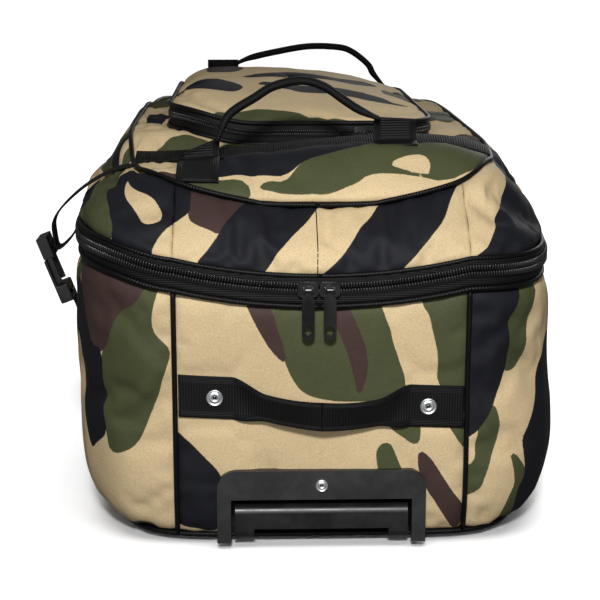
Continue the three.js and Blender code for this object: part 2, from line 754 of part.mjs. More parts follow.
function buildStraps() {
  // Compression strap over the hump, its buckle clipped at the left flank.
  const shoulder = 172;
  const across = [];
  for (let i = 0; i <= 14; i++) {
    const x = lerp(-shoulder, shoulder, i / 14);
    const [settledX, , z] = settled([x, STRAP.y, topHeight(x, STRAP.y)]);
    across.push([settledX, z + STRAP_LIFT]);
  }
  add("compression_strap", ribbon(across, STRAP.y, strapWidth, STRAP.thick), WEBBING);

  const hanging = curvePath(
    [
      [-167, 324],
      [-178, 320],
      [-192, 311],
      [-212, 296],
      [-232, 277],
      [-240.5, 262],
      [-240, 248],
      [-238, 236],
    ],
    20,
  );
  add("strap_tail", ribbon(hanging, STRAP.y, strapWidth, STRAP.thick), WEBBING);
}

// The side-release buckle lies in a plane tilted against the bag's flank. Along its own length, u runs
// down from the strap end, v is the width (world Y) and w the thickness, outwards from the bag.
const BUCKLE = { x: -247, z: 250, lean: 21, length: 64, width: 33 };
function buckleFrame(u, v, w) {
  const lean = (BUCKLE.lean * Math.PI) / 180;
  const down = [Math.sin(lean), -Math.cos(lean)];
  const out = [-Math.cos(lean), -Math.sin(lean)];
  return [BUCKLE.x + down[0] * u + out[0] * w, STRAP.y + v, BUCKLE.z + down[1] * u + out[1] * w];
}
const inBuckle = (u0, u1, v0, v1, w0, w1) => placed(box(u0, u1, v0, v1, w0, w1), buckleFrame);

function buildBuckle() {
  const half = BUCKLE.width / 2;
  const head = inBuckle(0, 20, -half, half, 0, 10);
  const slots = [inBuckle(3, 7, -13, 13, -5, 15), inBuckle(11, 15, -13, 13, -5, 15)];
  const prongs = SIDES.map(([, sign]) => {
    const [near, far] = [sign * (half - 5.6), sign * (half - 1.6)];
    return inBuckle(19, 45, Math.min(near, far), Math.max(near, far), 2.6, 7.4);
  });
  const tongue = inBuckle(19, 40, -2.5, 2.5, 3.2, 6.8);
  add("buckle_male", joined(cut(head, ...slots), ...prongs, tongue), PLASTIC);

  // The receiving half is open towards the bag, so the prongs lift out as the upper half opens.
  const shell = inBuckle(21, BUCKLE.length, -half, half, -1, 11);
  const socket = inBuckle(15, 47, -half - 5, half + 5, -5, 8);
  const bar = inBuckle(55, 59.5, -13, 13, -8, 18);
  add("buckle_female", cut(shell, socket, bar), PLASTIC);
}

// A loop of webbing through the lower bar, sewn to the lower box's flank.
function buildBuckleAnchor() {
  const path = curvePath(
    [
      [-226.4, 188.6],
      [-222.5, 183],
      [-218.4, 176],
      [-216.8, 164],
      [-216.2, 150],
    ],
    8,
  );
  add("buckle_anchor", ribbon(path, STRAP.y, strapWidth, STRAP.thick), WEBBING);
}

// ---------- haul strap on the front ----------
// How far forward the front panel reaches, between the two lower rings that the strap spans.
function frontY(x, z) {
  const [below, above] = lowerRings.slice(3);
  const reachAt = (ring) => outlineAt(ring, angleAtX(ring, x, -1))[1];
  return lerp(reachAt(below), reachAt(above), clamp((z - 125) / (LOWER_TOP - 125), 0, 1));
}

function buildHaulStrap() {
  const [z0, z1] = [HAUL.z - HAUL.height / 2, HAUL.z + HAUL.height / 2];
  for (const [side, sign] of SIDES) {
    const xs = [HAUL.rivetX - 14, HAUL.rivetX, HAUL.rivetX + 14, PANEL_SEAM_X - 4].map((x) => sign * x);
    const grid = (offset) => [z0, z1].map((z) => xs.map((x) => [x, frontY(x, z1) - offset, z]));
    const tab = slab(grid(GAP + 2.2), grid(GAP));
    const rivetX = sign * HAUL.rivetX;
    const seat = frontY(rivetX, z1) - GAP - 2.2;
    add(`haul_tab_${side}`, cut(tab, cylinderY(3.4, -430, -380, rivetX, HAUL.z)), WEBBING);
    const dome = cylinderY(7, seat - GAP - 2.2, seat - GAP, rivetX, HAUL.z, 24);
    const shank = cylinderY(2.8, seat - GAP - 1, seat + 2, rivetX, HAUL.z, 16);
    add(`haul_rivet_${side}`, joined(dome, shank), STEEL);
  }
  const inner = HAUL.rivetX - 16;
  const count = 16;
  const bow = (x) => 18 * (1 - (x / inner) ** 2) ** 0.8;
  const droop = (x) => -5 * (1 - (x / inner) ** 2);
  const xs = Array.from({ length: count + 1 }, (_, i) => lerp(-inner, inner, i / count));
  const grid = (offset) =>
    [z0 + 3, z1].map((z) => xs.map((x) => [x, frontY(x, z1) - GAP - offset - bow(x), z + droop(x)]));
  add("haul_strap", slab(grid(4.2), grid(0.6)), WEBBING);
}

// ---------- trolley ----------
const HAND_GRIP = { halfWidth: 75, y0: -410, y1: -386, z0: 8, z1: 38, recess: 58 };
const TUB = { front: -399.4, back: -372, z0: FLOOR_Z + GAP, z1: 56 };

function archOutline(halfWidth, z0, z1, radius) {
  const points = [[-halfWidth, z0]];
  for (let i = 0; i <= 5; i++) {
    const angle = Math.PI - (i / 5) * (Math.PI / 2);
    points.push([-halfWidth + radius + radius * Math.cos(angle), z1 - radius + radius * Math.sin(angle)]);
  }
  for (let i = 0; i <= 5; i++) {
    const angle = Math.PI / 2 - (i / 5) * (Math.PI / 2);
    points.push([halfWidth - radius + radius * Math.cos(angle), z1 - radius + radius * Math.sin(angle)]);
  }
  points.push([halfWidth, z0]);
  return points;
}

const tubeBlock = ({ w, h }, by, x, y0, y1) =>
  box(x - w / 2 - by, x + w / 2 + by, y0, y1, TROLLEY.z - h / 2 - by, TROLLEY.z + h / 2 + by);

function tube(size, x, y0) {
  const y1 = y0 + size.length;
  return cut(tubeBlock(size, 0, x, y0, y1), tubeBlock(size, -TUBE_WALL, x, y0 - 5, y1 + 5));
}

function buildTrolley() {
  const bezelDepth = 8;
  const plate = prism(archOutline(TROLLEY.halfWidth, 5, TROLLEY.top, 16), bezelDepth, alongY(TROLLEY.frontY));
  const window = box(-78, 78, -450, -380, -20, 44);
  const rivetHole = cylinderY(3.2, -430, -390, 0, 57);
  add("trolley_bezel", cut(plate, window, rivetHole), PLASTIC);
  const head = cylinderY(5.5, TROLLEY.frontY - 2, TROLLEY.frontY - GAP, 0, 57);
  const shank = cylinderY(2.6, TROLLEY.frontY - 1, TROLLEY.frontY + 9, 0, 57, 16);
  add("bezel_rivet", joined(head, shank), STEEL);

  const block = box(-82, 82, TUB.front, TUB.back, TUB.z0, TUB.z1);
  const hollow = box(-78.6, 78.6, -450, TUB.back - 3, -20, 52);
  const holes = [-1, 1].map((sign) => tubeBlock(TUBE_MID, 0.5, sign * TROLLEY.tubeX, -380, -360));
  add("trolley_tub", cut(block, hollow, ...holes), PLASTIC);

  const tubeStart = TUB.back + GAP;
  for (const [side, sign] of SIDES) {
    const x = sign * TROLLEY.tubeX;
    add(`tube_outer_${side}`, tube(TUBE_OUTER, x, tubeStart), ALUMINIUM);
    add(`tube_mid_${side}`, tube(TUBE_MID, x, TUB.back - 2.5), ALUMINIUM);
    add(`tube_inner_${side}`, tube(TUBE_INNER, x, HAND_GRIP.y1 - 9), ALUMINIUM);
  }

  const bracketY = tubeStart + TUBE_OUTER.length - 14;
  const bracket = box(-80, 80, bracketY, bracketY + 18, FLOOR_Z + 7, 38);
  const sockets = [-1, 1].map((sign) => tubeBlock(TUBE_OUTER, 0.4, sign * TROLLEY.tubeX, -60, 20));
  add("tube_rear_bracket", cut(bracket, ...sockets), PLASTIC);

  const { halfWidth, y0, y1, z0, z1, recess } = HAND_GRIP;
  const bar = prism(roundedRectangle(y0, y1, z0, z1, 7, 4), 2 * halfWidth, alongX(-halfWidth));
  const notch = box(-recess, recess, -440, -380, z0 - 5, z0 + 9);
  const tubeSockets = [-1, 1].map((sign) =>
    tubeBlock(TUBE_INNER, 0.4, sign * TROLLEY.tubeX, y1 - 10, y1 + 20),
  );
  add("trolley_grip", cut(bar, notch, ...tubeSockets), PLASTIC);

  // The padded cover that hides the tubes inside the lower compartment.
  const coverEnd = bracketY + 26;
  const hump = box(-96, 96, -366, coverEnd, FLOOR_Z + 6.6, 44);
  const under = box(-93, 93, -390, coverEnd - 3, -20, 41);
  add("tube_cover", cut(hump, under), LINING);
}

// ---------- build ----------
buildLowerBox();
buildMainZip();
for (const [side, sign] of SIDES) {
  buildMainSlider(side, sign);
  buildWheel(side, sign);
}
buildUpperHalf();
buildFlap();
buildFlapSlider();
buildCarryHandle("front", FRONT_HANDLE);
buildCarryHandle("rear", REAR_HANDLE);
buildStraps();
buildBuckle();
buildBuckleAnchor();
buildHaulStrap();
buildTrolley();

export default bag;
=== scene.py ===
"""Rolling duffel bag: the soft panels, zips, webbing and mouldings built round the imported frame.

Shapes are worked out in millimetres in the row frame and turned into metres as each mesh is made.
"""

import math

import bmesh
import bpy
import numpy as np
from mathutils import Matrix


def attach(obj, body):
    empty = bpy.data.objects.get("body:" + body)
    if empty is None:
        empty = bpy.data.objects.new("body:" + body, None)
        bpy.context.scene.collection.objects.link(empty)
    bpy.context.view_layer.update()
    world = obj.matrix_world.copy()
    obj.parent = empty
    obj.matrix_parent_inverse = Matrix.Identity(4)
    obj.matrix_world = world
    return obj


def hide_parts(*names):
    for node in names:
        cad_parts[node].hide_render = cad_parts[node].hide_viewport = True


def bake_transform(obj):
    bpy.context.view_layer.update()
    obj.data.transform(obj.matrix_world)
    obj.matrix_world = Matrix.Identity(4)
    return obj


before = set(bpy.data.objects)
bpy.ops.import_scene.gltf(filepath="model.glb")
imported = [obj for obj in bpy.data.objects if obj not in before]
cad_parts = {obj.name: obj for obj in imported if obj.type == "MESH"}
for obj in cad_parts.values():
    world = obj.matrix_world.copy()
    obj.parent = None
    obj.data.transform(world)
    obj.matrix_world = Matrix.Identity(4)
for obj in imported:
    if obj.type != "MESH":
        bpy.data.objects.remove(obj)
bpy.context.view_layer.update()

MM = 0.001
PANEL_SEAM = 125.0
SEAM_GAP = 0.05
CLOTH = 3.0
LOWER_TOP = 227.0
ZIP_Z = 244.0
ZIP_RING = (217.0, 411.0, 400.0, 6.5)  # half width, front reach, rear reach, power
GUSSET_FOOT = (215.5, 409.5, 398.5, 6.5)
GUSSET_MID = (207.0, 394.0, 388.0, 5.4)
TOP_SEAM = (184.0, 356.0, 364.0, 4.6)
FLAP_X = -12.0
FLAP_HALF = 128.0
FLAP_REACH = 205.0
FLAP_CORNER = 58.0
FLAP_COIL_Z = 337.0
FLAP_EDGE_Z = 346.0
ZIP_POINTS = 520
FLAP_ZIP_POINTS = 420
PIPING_POINTS = 460
MAIN_TOOTH = (1.75, 5.4, 3.4)  # along the zip, high, deep
MAIN_PITCH = 2.4
MAIN_HINGE_Y = 372
FLAP_TOOTH = (1.4, 3.0, 1.9)
FLAP_PITCH = 1.9
FLAP_HINGE_Y = 198
TAPE_THICKNESS = 1.6
UNPRINTED = -60.0  # the distance given to a point that no patch comes near
PRINT_SPREAD = 1.3  # neighbouring patches overlap by this much, so that no ground shows between them
SCATTER_ROW = 115
NET_SPACING = 9.0
CLOTH_SPARE = 0.035  # the share by which a panel is cut larger than its seams
SIM_FRAMES = 18
ROOM_LIGHT = 0.12
STRAP_Y = -255.0
STRAP_WIDTH = 25
STRAP_THICKNESS = 1.8
HAUL_FREE = 75.0  # half the length of the haul strap's free middle
HAUL_RIVET = 91.0
HAUL_TOP = 149.0
# What is stitched or riveted to the panels covers these boxes, given by lowest and highest corners.
SEWN = [
    ((-130, -430, 100), (-72, -380, 160)),
    ((72, -430, 100), (130, -380, 160)),
    ((-94, -430, 0), (94, -380, 66)),
    ((-132, -350, 280), (-80, -272, 345)),
    ((46, -310, 280), (98, -272, 345)),
    ((-118, 278, 270), (-68, 330, 345)),
    ((88, 278, 270), (138, 330, 345)),
    ((-180, -272, 290), (180, -240, 345)),
    ((-225, -275, 140), (-190, -235, 200)),
]


# ---------- numbers ----------
def smooth(a, b, value):
    t = np.clip((np.asarray(value, float) - a) / (b - a), 0, 1)
    return t * t * (3 - 2 * t)


def lerp(a, b, t):
    return a + (b - a) * t


def lattice(ix, iy, iz, seed):
    """A number from -1 to 1 for each whole place, scrambled from its three counts and the seed."""
    n = (ix * 374761393 + iy * 668265263 + iz * 1274126177 + seed * 974634777) & 0xFFFFFFFF
    n = ((n ^ (n >> 13)) * 1274126177) & 0xFFFFFFFF
    n = n ^ (n >> 16)
    return n / 0xFFFFFFFF * 2 - 1


def noise(points, scale, seed=0):
    """Smooth noise from -1 to 1 at points of two or three coordinates."""
    q = np.asarray(points, float) / scale
    if q.shape[-1] == 2:
        q = np.concatenate([q, np.zeros(q.shape[:-1] + (1,))], -1)
    i = np.floor(q).astype(np.int64)
    f = q - i
    w = f * f * (3 - 2 * f)
    total = 0.0
    for dx in (0, 1):
        for dy in (0, 1):
            for dz in (0, 1):
                share = (
                    (w[..., 0] if dx else 1 - w[..., 0])
                    * (w[..., 1] if dy else 1 - w[..., 1])
                    * (w[..., 2] if dz else 1 - w[..., 2])
                )
                total = total + share * lattice(i[..., 0] + dx, i[..., 1] + dy, i[..., 2] + dz, seed)
    return total


def creases(points, scale, seed):
    """Sharper ridges than noise gives, from 0 to 1."""
    return (1 - np.abs(noise(points, scale, seed))) ** 3


def curve_between(a, b, c, d, t):
    """A smooth curve from b to c, with a before it and d after it."""
    return 0.5 * (2 * b + (c - a) * t + (2 * a - 5 * b + 4 * c - d) * t**2 + (3 * b - a - 3 * c + d) * t**3)


def run_along(line):
    """Distance along a line at each of its points."""
    return np.concatenate([[0], np.cumsum(np.linalg.norm(np.diff(line, axis=0), axis=1))])


def read_at(want, along, values):
    """Rows of values, known at the runs along, read at the runs wanted."""
    return np.stack([np.interp(want, along, column) for column in values.T], -1)


def through(points, count):
    """Points evenly spaced along a smooth curve through the given ones."""
    p = np.asarray(points, float)
    padded = np.vstack([2 * p[0] - p[1], p, 2 * p[-1] - p[-2]])
    t = np.linspace(0, 1, 24, endpoint=False)[:, None]
    fine = [curve_between(*padded[k : k + 4], t) for k in range(len(p) - 1)]
    return spaced(np.vstack([*fine, p[-1:]]), count)


def spaced(line, count):
    along = run_along(line)
    return read_at(np.linspace(0, along[-1], count), along, line)


# ---------- outlines ----------
def outline(ring, angle):
    """Points on a rounded rectangle: half width, reach to the front and the rear, and squareness."""
    half, front, rear, power = ring
    c, s = np.cos(angle), np.sin(angle)
    reach = np.where(s < 0, front, rear)
    e = 2 / power
    return np.stack([half * np.sign(c) * np.abs(c) ** e, reach * np.sign(s) * np.abs(s) ** e], -1)


def grown(ring, by):
    return (ring[0] + by, ring[1] + by, ring[2] + by, ring[3])


def angle_at(ring, x, sign):
    return sign * math.acos(math.copysign((abs(x) / ring[0]) ** (ring[3] / 2), x))


def panel_span(ring, panel):
    """The angles between which a panel follows an outline."""
    near, past = PANEL_SEAM - SEAM_GAP, PANEL_SEAM + SEAM_GAP
    right_start = angle_at(ring, past, -1)
    left_start = 2 * math.pi + angle_at(ring, -past, -1)
    return {
        "front": (angle_at(ring, -near, -1), angle_at(ring, near, -1)),
        "rear": (angle_at(ring, near, 1), angle_at(ring, -near, 1)),
        "right": (right_start, angle_at(ring, past, 1)),
        "left": (left_start, angle_at(ring, -past, 1)),
        "right half": (right_start, angle_at(ring, SEAM_GAP, 1)),
        "left half": (left_start, angle_at(ring, -SEAM_GAP, 1)),
        "loop": (-math.pi / 2, 1.5 * math.pi),
    }[panel]


def along_outline(ring, panel, count):
    """Evenly spaced points on one panel's stretch of an outline, and how far along it each one is."""
    start, end = panel_span(ring, panel)
    points = spaced(outline(ring, np.linspace(start, end, 1400)), count)
    if panel == "front":
        return points, points[:, 0]
    sign = -1 if panel.startswith("left") else 1
    return points, sign * (PANEL_SEAM + run_along(points))


def zip_sag(x, y):
    """How far the main zip dips below its level at the bag's front."""
    return np.where(y < 0, 14 * np.clip(1 - (x / PANEL_SEAM) ** 2, 0, None), 0.0)


def level(z):
    return lambda x, y: np.full(len(x), z)


def sagging(z):
    return lambda x, y: z - zip_sag(x, y)


def over_top(rise):
    return lambda x, y: top_height(x, y) + rise


def flap_outline(inset, count):
    """Evenly spaced points round the flap, starting at the middle of its rear edge."""
    half, reach, radius = FLAP_HALF - inset, FLAP_REACH - inset, FLAP_CORNER - inset
    corners = [
        (half - radius, reach - radius, 90, 0),
        (half - radius, radius - reach, 0, -90),
        (radius - half, radius - reach, -90, -180),
        (radius - half, reach - radius, 180, 90),
    ]
    line = [(0.0, reach)]
    for cx, cy, start, end in corners:
        for a in np.radians(np.linspace(start, end, 20)):
            line.append((cx + radius * math.cos(a), cy + radius * math.sin(a)))
    line.append((0.0, reach))
    points = spaced(np.array(line), count + 1)[:count]
    return points + np.array([FLAP_X, 0.0])


# ---------- the bag's surfaces ----------
def lower_ring(z):
    """The lower box's outline at a height: it draws in to the foot and swells a little to the zip."""
    foot = 1 - math.exp(-(z - 8) / 22)
    top = float(smooth(125, LOWER_TOP, z))
    return (186 + 27 * foot + 2 * top, 394 + 10 * foot + 4 * top, 388 + 10 * foot, 6.5)


def crest_height(y):
    nose = np.sqrt(np.clip(1 - np.clip((-298 - y) / 58, 0, 1) ** 2, 0, 1))
    hump = 39 * (0.4 * smooth(-350, -298, y) + 0.6 * nose)
    return 291 + hump - 4 * smooth(-290, -245, y) - 19 * smooth(235, 365, y)


def shoulder_height(y):
    return 314 + 8 * smooth(-300, -150, y) - 4 * smooth(220, 365, y)


def top_height(x, y):
    x, y = np.asarray(x, float), np.asarray(y, float)
    side = np.clip(np.abs(x / TOP_SEAM[0]) ** 2.4, 0, 1)
    slump = 17 * (x / TOP_SEAM[0]) * smooth(-345, -290, y) * (1 - smooth(-262, -205, y))
    return lerp(crest_height(y) + slump, shoulder_height(y), side)


def flap_height(x, y):
    u, v = (x - FLAP_X) / FLAP_HALF, y / FLAP_REACH
    across = np.clip(1 - np.abs(u) ** 2.6, 0, None) * (1 - 0.35 * u)
    along = np.clip(1 - np.abs(v) ** 3.5, 0, None) * (1 + 0.25 * v)
    return FLAP_EDGE_Z + 26 * across * along


def settled(points):
    """Where the soft bag's even shape ends up: its left front corner and the flap's left side are
    drawn up, and its flanks lean in."""
    p = np.array(points, float)
    x, y, z = p[..., 0].copy(), p[..., 1], p[..., 2].copy()
    right = smooth(110, 212, x) * smooth(60, 170, z)
    left = smooth(-110, -200, x) * smooth(255, 300, z)
    p[..., 0] += 10 * left - 9 * right * (1 + smooth(250, 300, z))
    corner = smooth(-120, -205, x) * (1 - smooth(-250, 150, y)) * smooth(140, 235, z)
    p[..., 2] += 17 * corner * (1 - smooth(262, 314, z))
    side = smooth(-55, -135, x) * smooth(-265, -200, y) * (1 - 0.6 * smooth(80, 200, y))
    p[..., 2] += 14 * side * smooth(290, 325, z)
    return p


def lower_grid(panel, columns, rows):
    """(rows, columns, 3) points and (rows, columns, 2) panel coordinates: run along the loop, height."""
    share = np.linspace(0, 1, rows) ** 1.15
    grid, flat = [], []
    for z in lerp(8, LOWER_TOP, share):
        points, run = along_outline(lower_ring(z), panel, columns)
        dip = zip_sag(points[:, 0], points[:, 1]) * float(smooth(90, LOWER_TOP, z))
        grid.append(np.column_stack([points, z - dip]))
        flat.append(np.column_stack([run, z - dip]))
    return settled(grid), np.array(flat)


def gusset_grid(panel, columns, rows):
    """The upper half's sloping side, a curve through three outlines from the zip up to the top seam."""
    stops = []
    middle = 0.45
    for place_up, ring in enumerate((GUSSET_FOOT, GUSSET_MID, TOP_SEAM)):
        points, run = along_outline(ring, panel, columns)
        x, y = points[:, 0], points[:, 1]
        sag, head = zip_sag(x, y), top_height(x, y)
        z = (254.5 - sag, lerp(254, head, middle) - 0.6 * sag, head)[place_up]
        stops.append(np.column_stack([points, z, run]))
    slope = np.linalg.norm(stops[2][:, :3] - stops[0][:, :3], axis=1)
    grid, flat = [], []
    for t in np.linspace(0, 1, rows):
        w0 = (t - middle) * (t - 1) / middle
        w1 = t * (t - 1) / (middle * (middle - 1))
        w2 = t * (t - middle) / (1 - middle)
        row = w0 * stops[0] + w1 * stops[1] + w2 * stops[2]
        grid.append(row[:, :3])
        flat.append(np.column_stack([row[:, 3], t * slope]))
    return settled(grid), np.array(flat)


def top_grid(around, rows):
    """The top panel, from its seam in to the flap."""
    hole = flap_outline(-2, around)
    headings = np.arctan2(hole[:, 1], hole[:, 0])
    c, s = np.cos(headings), np.sin(headings)
    half, front, rear, power = grown(TOP_SEAM, -1)
    reach = np.where(s < 0, front, rear)
    scale = ((np.abs(c) / half) ** power + (np.abs(s) / reach) ** power) ** (-1 / power)
    border = np.column_stack([c, s]) * scale[:, None]
    grid = []
    for t in np.linspace(0, 1, rows) ** 1.1:
        p = lerp(border, hole, t)
        grid.append(np.column_stack([p, top_height(p[:, 0], p[:, 1])]))
    grid = np.array(grid)
    return settled(grid), grid[..., :2].copy()


def flap_grid(around, rows):
    """The flap, from its edge in to the middle."""
    edge = flap_outline(0.5, around)
    grid = []
    for k, share in enumerate(np.linspace(1, 0.02, rows) ** 0.85):
        p = np.column_stack([lerp(FLAP_X, edge[:, 0], share), edge[:, 1] * share])
        drop = 3.0 * math.exp(-k / 1.4)
        grid.append(np.column_stack([p, flap_height(p[:, 0], p[:, 1]) - drop]))
    grid = np.array(grid)
    return settled(grid), grid[..., :2].copy()


# ---------- grids to meshes ----------
def unit(v):
    return v / np.maximum(np.linalg.norm(v, axis=-1, keepdims=True), 1e-9)


def grid_normals(grid, wrapped, centre=(0, 0, 150)):
    if wrapped:
        ring = np.concatenate([grid[:, -1:], grid, grid[:, :1]], 1)
        du = (ring[:, 2:] - ring[:, :-2]) / 2
    else:
        du = np.gradient(grid, axis=1)
    dv = np.gradient(grid, axis=0)
    n = unit(np.cross(du, dv))
    outward = np.sum(n * (grid - np.array(centre, float)), axis=-1).mean()
    return n if outward > 0 else -n


def slab_faces(rows, columns, wrapped, capped=False):
    """Faces of a closed slab of two grids, outer first, and a material index of 1 for the inner side. A
    capped one has a lid over each grid's last row, in place of a wall between the two."""
    faces, inside = [], []
    spans = columns if wrapped else columns - 1
    last = rows - 1

    def at(r, c, side):
        return (side * rows + r) * columns + c % columns

    for r in range(last):
        for c in range(spans):
            faces.append((at(r, c, 0), at(r, c + 1, 0), at(r + 1, c + 1, 0), at(r + 1, c, 0)))
            faces.append((at(r, c, 1), at(r + 1, c, 1), at(r + 1, c + 1, 1), at(r, c + 1, 1)))
            inside += [0, 1]
        if not wrapped:
            faces.append((at(r, 0, 0), at(r + 1, 0, 0), at(r + 1, 0, 1), at(r, 0, 1)))
            faces.append((at(r, spans, 0), at(r, spans, 1), at(r + 1, spans, 1), at(r + 1, spans, 0)))
            inside += [0, 0]
    for c in range(spans):
        faces.append((at(0, c, 0), at(0, c, 1), at(0, c + 1, 1), at(0, c + 1, 0)))
        inside.append(0)
        if not capped:
            faces.append((at(last, c, 0), at(last, c + 1, 0), at(last, c + 1, 1), at(last, c, 1)))
            inside.append(0)
    if capped:
        faces.append(tuple(at(last, c, 0) for c in range(spans)))
        faces.append(tuple(at(last, c, 1) for c in range(spans))[::-1])
        inside += [0, 1]
    return faces, inside


def ring_faces(rings, sides, closed=False):
    """Faces between rings of points that are listed one ring after another."""
    faces = []
    for r in range(rings if closed else rings - 1):
        after = ((r + 1) % rings) * sides
        for c in range(sides):
            beside = (c + 1) % sides
            faces.append((r * sides + c, r * sides + beside, after + beside, after + c))
    return faces


def make(name, points, faces, materials, flat, inside=None, layers=None):
    """A mesh object from points in millimetres. flat gives texture coordinates, one pair per point."""
    mesh = bpy.data.meshes.new(name)
    mesh.from_pydata((np.asarray(points) * MM).tolist(), [], [tuple(f) for f in faces])
    for material in materials:
        mesh.materials.append(material)
    if inside is not None:
        mesh.polygons.foreach_set("material_index", np.array(inside, np.int32))
    corners = np.zeros(len(mesh.loops), np.int32)
    mesh.loops.foreach_get("vertex_index", corners)
    uv = mesh.uv_layers.new(name="run")
    uv.data.foreach_set("uv", (np.asarray(flat, float)[corners] * MM).astype(np.float32).ravel())
    for layer, values in (layers or {}).items():
        attribute = mesh.attributes.new(layer, "FLOAT", "POINT")
        attribute.data.foreach_set("value", np.asarray(values, np.float32).ravel())
    mesh.polygons.foreach_set("use_smooth", np.full(len(mesh.polygons), True))
    mesh.update()
    work = bmesh.new()
    work.from_mesh(mesh)
    bmesh.ops.recalc_face_normals(work, faces=work.faces)
    work.to_mesh(mesh)
    work.free()
    return linked(name, mesh)


def linked(name, data):
    """An object in the scene with the data given."""
    obj = bpy.data.objects.new(name, data)
    bpy.context.scene.collection.objects.link(obj)
    return obj


def slab(name, outer, inner, flat, material, wrapped=False, capped=False):
    """A closed piece between two grids, which share their texture coordinates."""
    faces, _ = slab_faces(*outer.shape[:2], wrapped, capped)
    points = np.concatenate([outer.reshape(-1, 3), inner.reshape(-1, 3)])
    where = flat.reshape(-1, 2)
    return make(name, points, faces, [material], np.concatenate([where, where]))


def panel_mesh(panel, grid, flat):
    """A padded panel: the shaped outer skin, its lining, and the camouflage as signed distances. A bay is
    the half width and the height of an opening in its foot."""
    wrapped, bay, camo = panel["wrapped"], panel["bay"], panel["camo"]
    inner = grid - grid_normals(grid, wrapped) * CLOTH
    points = np.concatenate([grid.reshape(-1, 3), inner.reshape(-1, 3)])
    where = flat.reshape(-1, 2)
    faces, inside = slab_faces(*grid.shape[:2], wrapped)
    if bay is not None:
        open_points = np.tile((np.abs(where[:, 0]) < bay[0]) & (where[:, 1] < bay[1]), 2)
        kept = [not open_points[list(face)].all() for face in faces]
        faces = [face for face, keep in zip(faces, kept) if keep]
        inside = [side for side, keep in zip(inside, kept) if keep]
    layers = {}
    for colour in ("green", "brown", "black"):
        d = distance(where, camo.get(colour, []), camo.get("bare", []), panel["seed"])
        layers[colour] = np.concatenate([d, d])
    flat_twice = np.concatenate([where, where])
    return make(panel["name"], points, faces, [CAMO, LINING], flat_twice, inside, layers)


def sweep(name, path, side, up, profile, material, closed=False, widths=None):
    """A profile of (across, up) offsets carried along a path; side and up are unit vectors per point."""
    path, side, up = (np.asarray(a, float) for a in (path, side, up))
    profile = np.asarray(profile, float)
    count, size = len(path), len(profile)
    scale = np.ones((count, 2)) if widths is None else np.asarray(widths, float)
    across = profile[None, :, 0:1] * scale[:, None, 0:1]
    rise = profile[None, :, 1:2] * scale[:, None, 1:2]
    points = path[:, None] + side[:, None] * across + up[:, None] * rise
    run = np.repeat(run_along(path)[:, None], size, 1)
    flat = np.stack([run, np.broadcast_to(across[..., 0], (count, size))], -1)
    faces = ring_faces(count, size, closed)
    if not closed:
        faces.append(tuple(range(size))[::-1])
        faces.append(tuple((count - 1) * size + c for c in range(size)))
    return make(name, points.reshape(-1, 3), faces, [material], flat.reshape(-1, 2))


def disc(radius):
    a = np.linspace(0, 2 * math.pi, 8, endpoint=False)
    return np.column_stack([radius * np.cos(a), radius * np.sin(a)])


def band(width, thickness):
    """Cross section of a flat strap with rounded edges."""
    half, r = width / 2 - thickness / 2, thickness / 2
    points = []
    for centre, start in ((half, -90), (-half, 90)):
        for a in np.radians(np.linspace(start, start + 180, 5)):
            points.append((centre + r * math.cos(a), r * math.sin(a)))
    return np.array(points)


def tangents(path, closed=False):
    if closed:
        return unit(np.roll(path, -1, 0) - np.roll(path, 1, 0))
    return unit(np.gradient(path, axis=0))


def cord_tube(name, path, radius, closed=False):
    path = np.asarray(path, float)
    t = tangents(path, closed)
    side = unit(np.cross(t, np.array([0, 0, 1.0])) + 1e-6)
    steep = np.abs(t[:, 2]) > 0.9
    side[steep] = unit(np.cross(t[steep], np.array([0, 1.0, 0])))
    return sweep(name, path, side, unit(np.cross(side, t)), disc(radius), PIPING, closed)


def joined(name, pieces):
    """Several mesh objects as one."""
    for other in bpy.context.selected_objects:
        other.select_set(False)
    for piece in pieces:
        piece.select_set(True)
    bpy.context.view_layer.objects.active = pieces[0]
    bpy.ops.object.join()
    result = bpy.context.view_layer.objects.active
    result.name = name
    result.data.name = name
    result.select_set(False)
    return result


def refined(node, name, width, material, segments):
    """A moulding whose CAD edges are rounded over."""
    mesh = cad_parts[node].data.copy()
    mesh.name = name
    work = bmesh.new()
    work.from_mesh(mesh)
    bmesh.ops.remove_doubles(work, verts=work.verts, dist=1e-5)
    bmesh.ops.dissolve_limit(work, angle_limit=math.radians(2), verts=work.verts, edges=work.edges)
    sharp = [e for e in work.edges if e.is_manifold and e.calc_face_angle(0) > math.radians(28)]
    bmesh.ops.bevel(
        work,
        geom=sharp,
        offset=width * MM,
        offset_type="OFFSET",
        segments=segments,
        profile=0.5,
        affect="EDGES",
        clamp_overlap=True,
    )
    bmesh.ops.recalc_face_normals(work, faces=work.faces)
    work.to_mesh(mesh)
    work.free()
    mesh.materials.clear()
    mesh.materials.append(material)
    for layer in list(mesh.uv_layers):
        mesh.uv_layers.remove(layer)
    mesh.polygons.foreach_set("use_smooth", np.full(len(mesh.polygons), True))
    obj = linked(name, mesh)
    modifier = obj.modifiers.new("even", "WEIGHTED_NORMAL")
    modifier.keep_sharp = True
    return obj


def place(obj, body, slot, *nodes):
    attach(obj, body)
    if nodes:
        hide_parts(*nodes)


# ---------- camouflage ----------
def rounded(corners):
    """A polygon with its corners cut off twice, so that it reads as a soft printed patch."""
    p = np.asarray(corners, float)
    for _ in range(2):
        after = np.roll(p, -1, 0)
        p = np.stack([lerp(p, after, 0.22), lerp(p, after, 0.78)], 1).reshape(-1, 2)
    return p


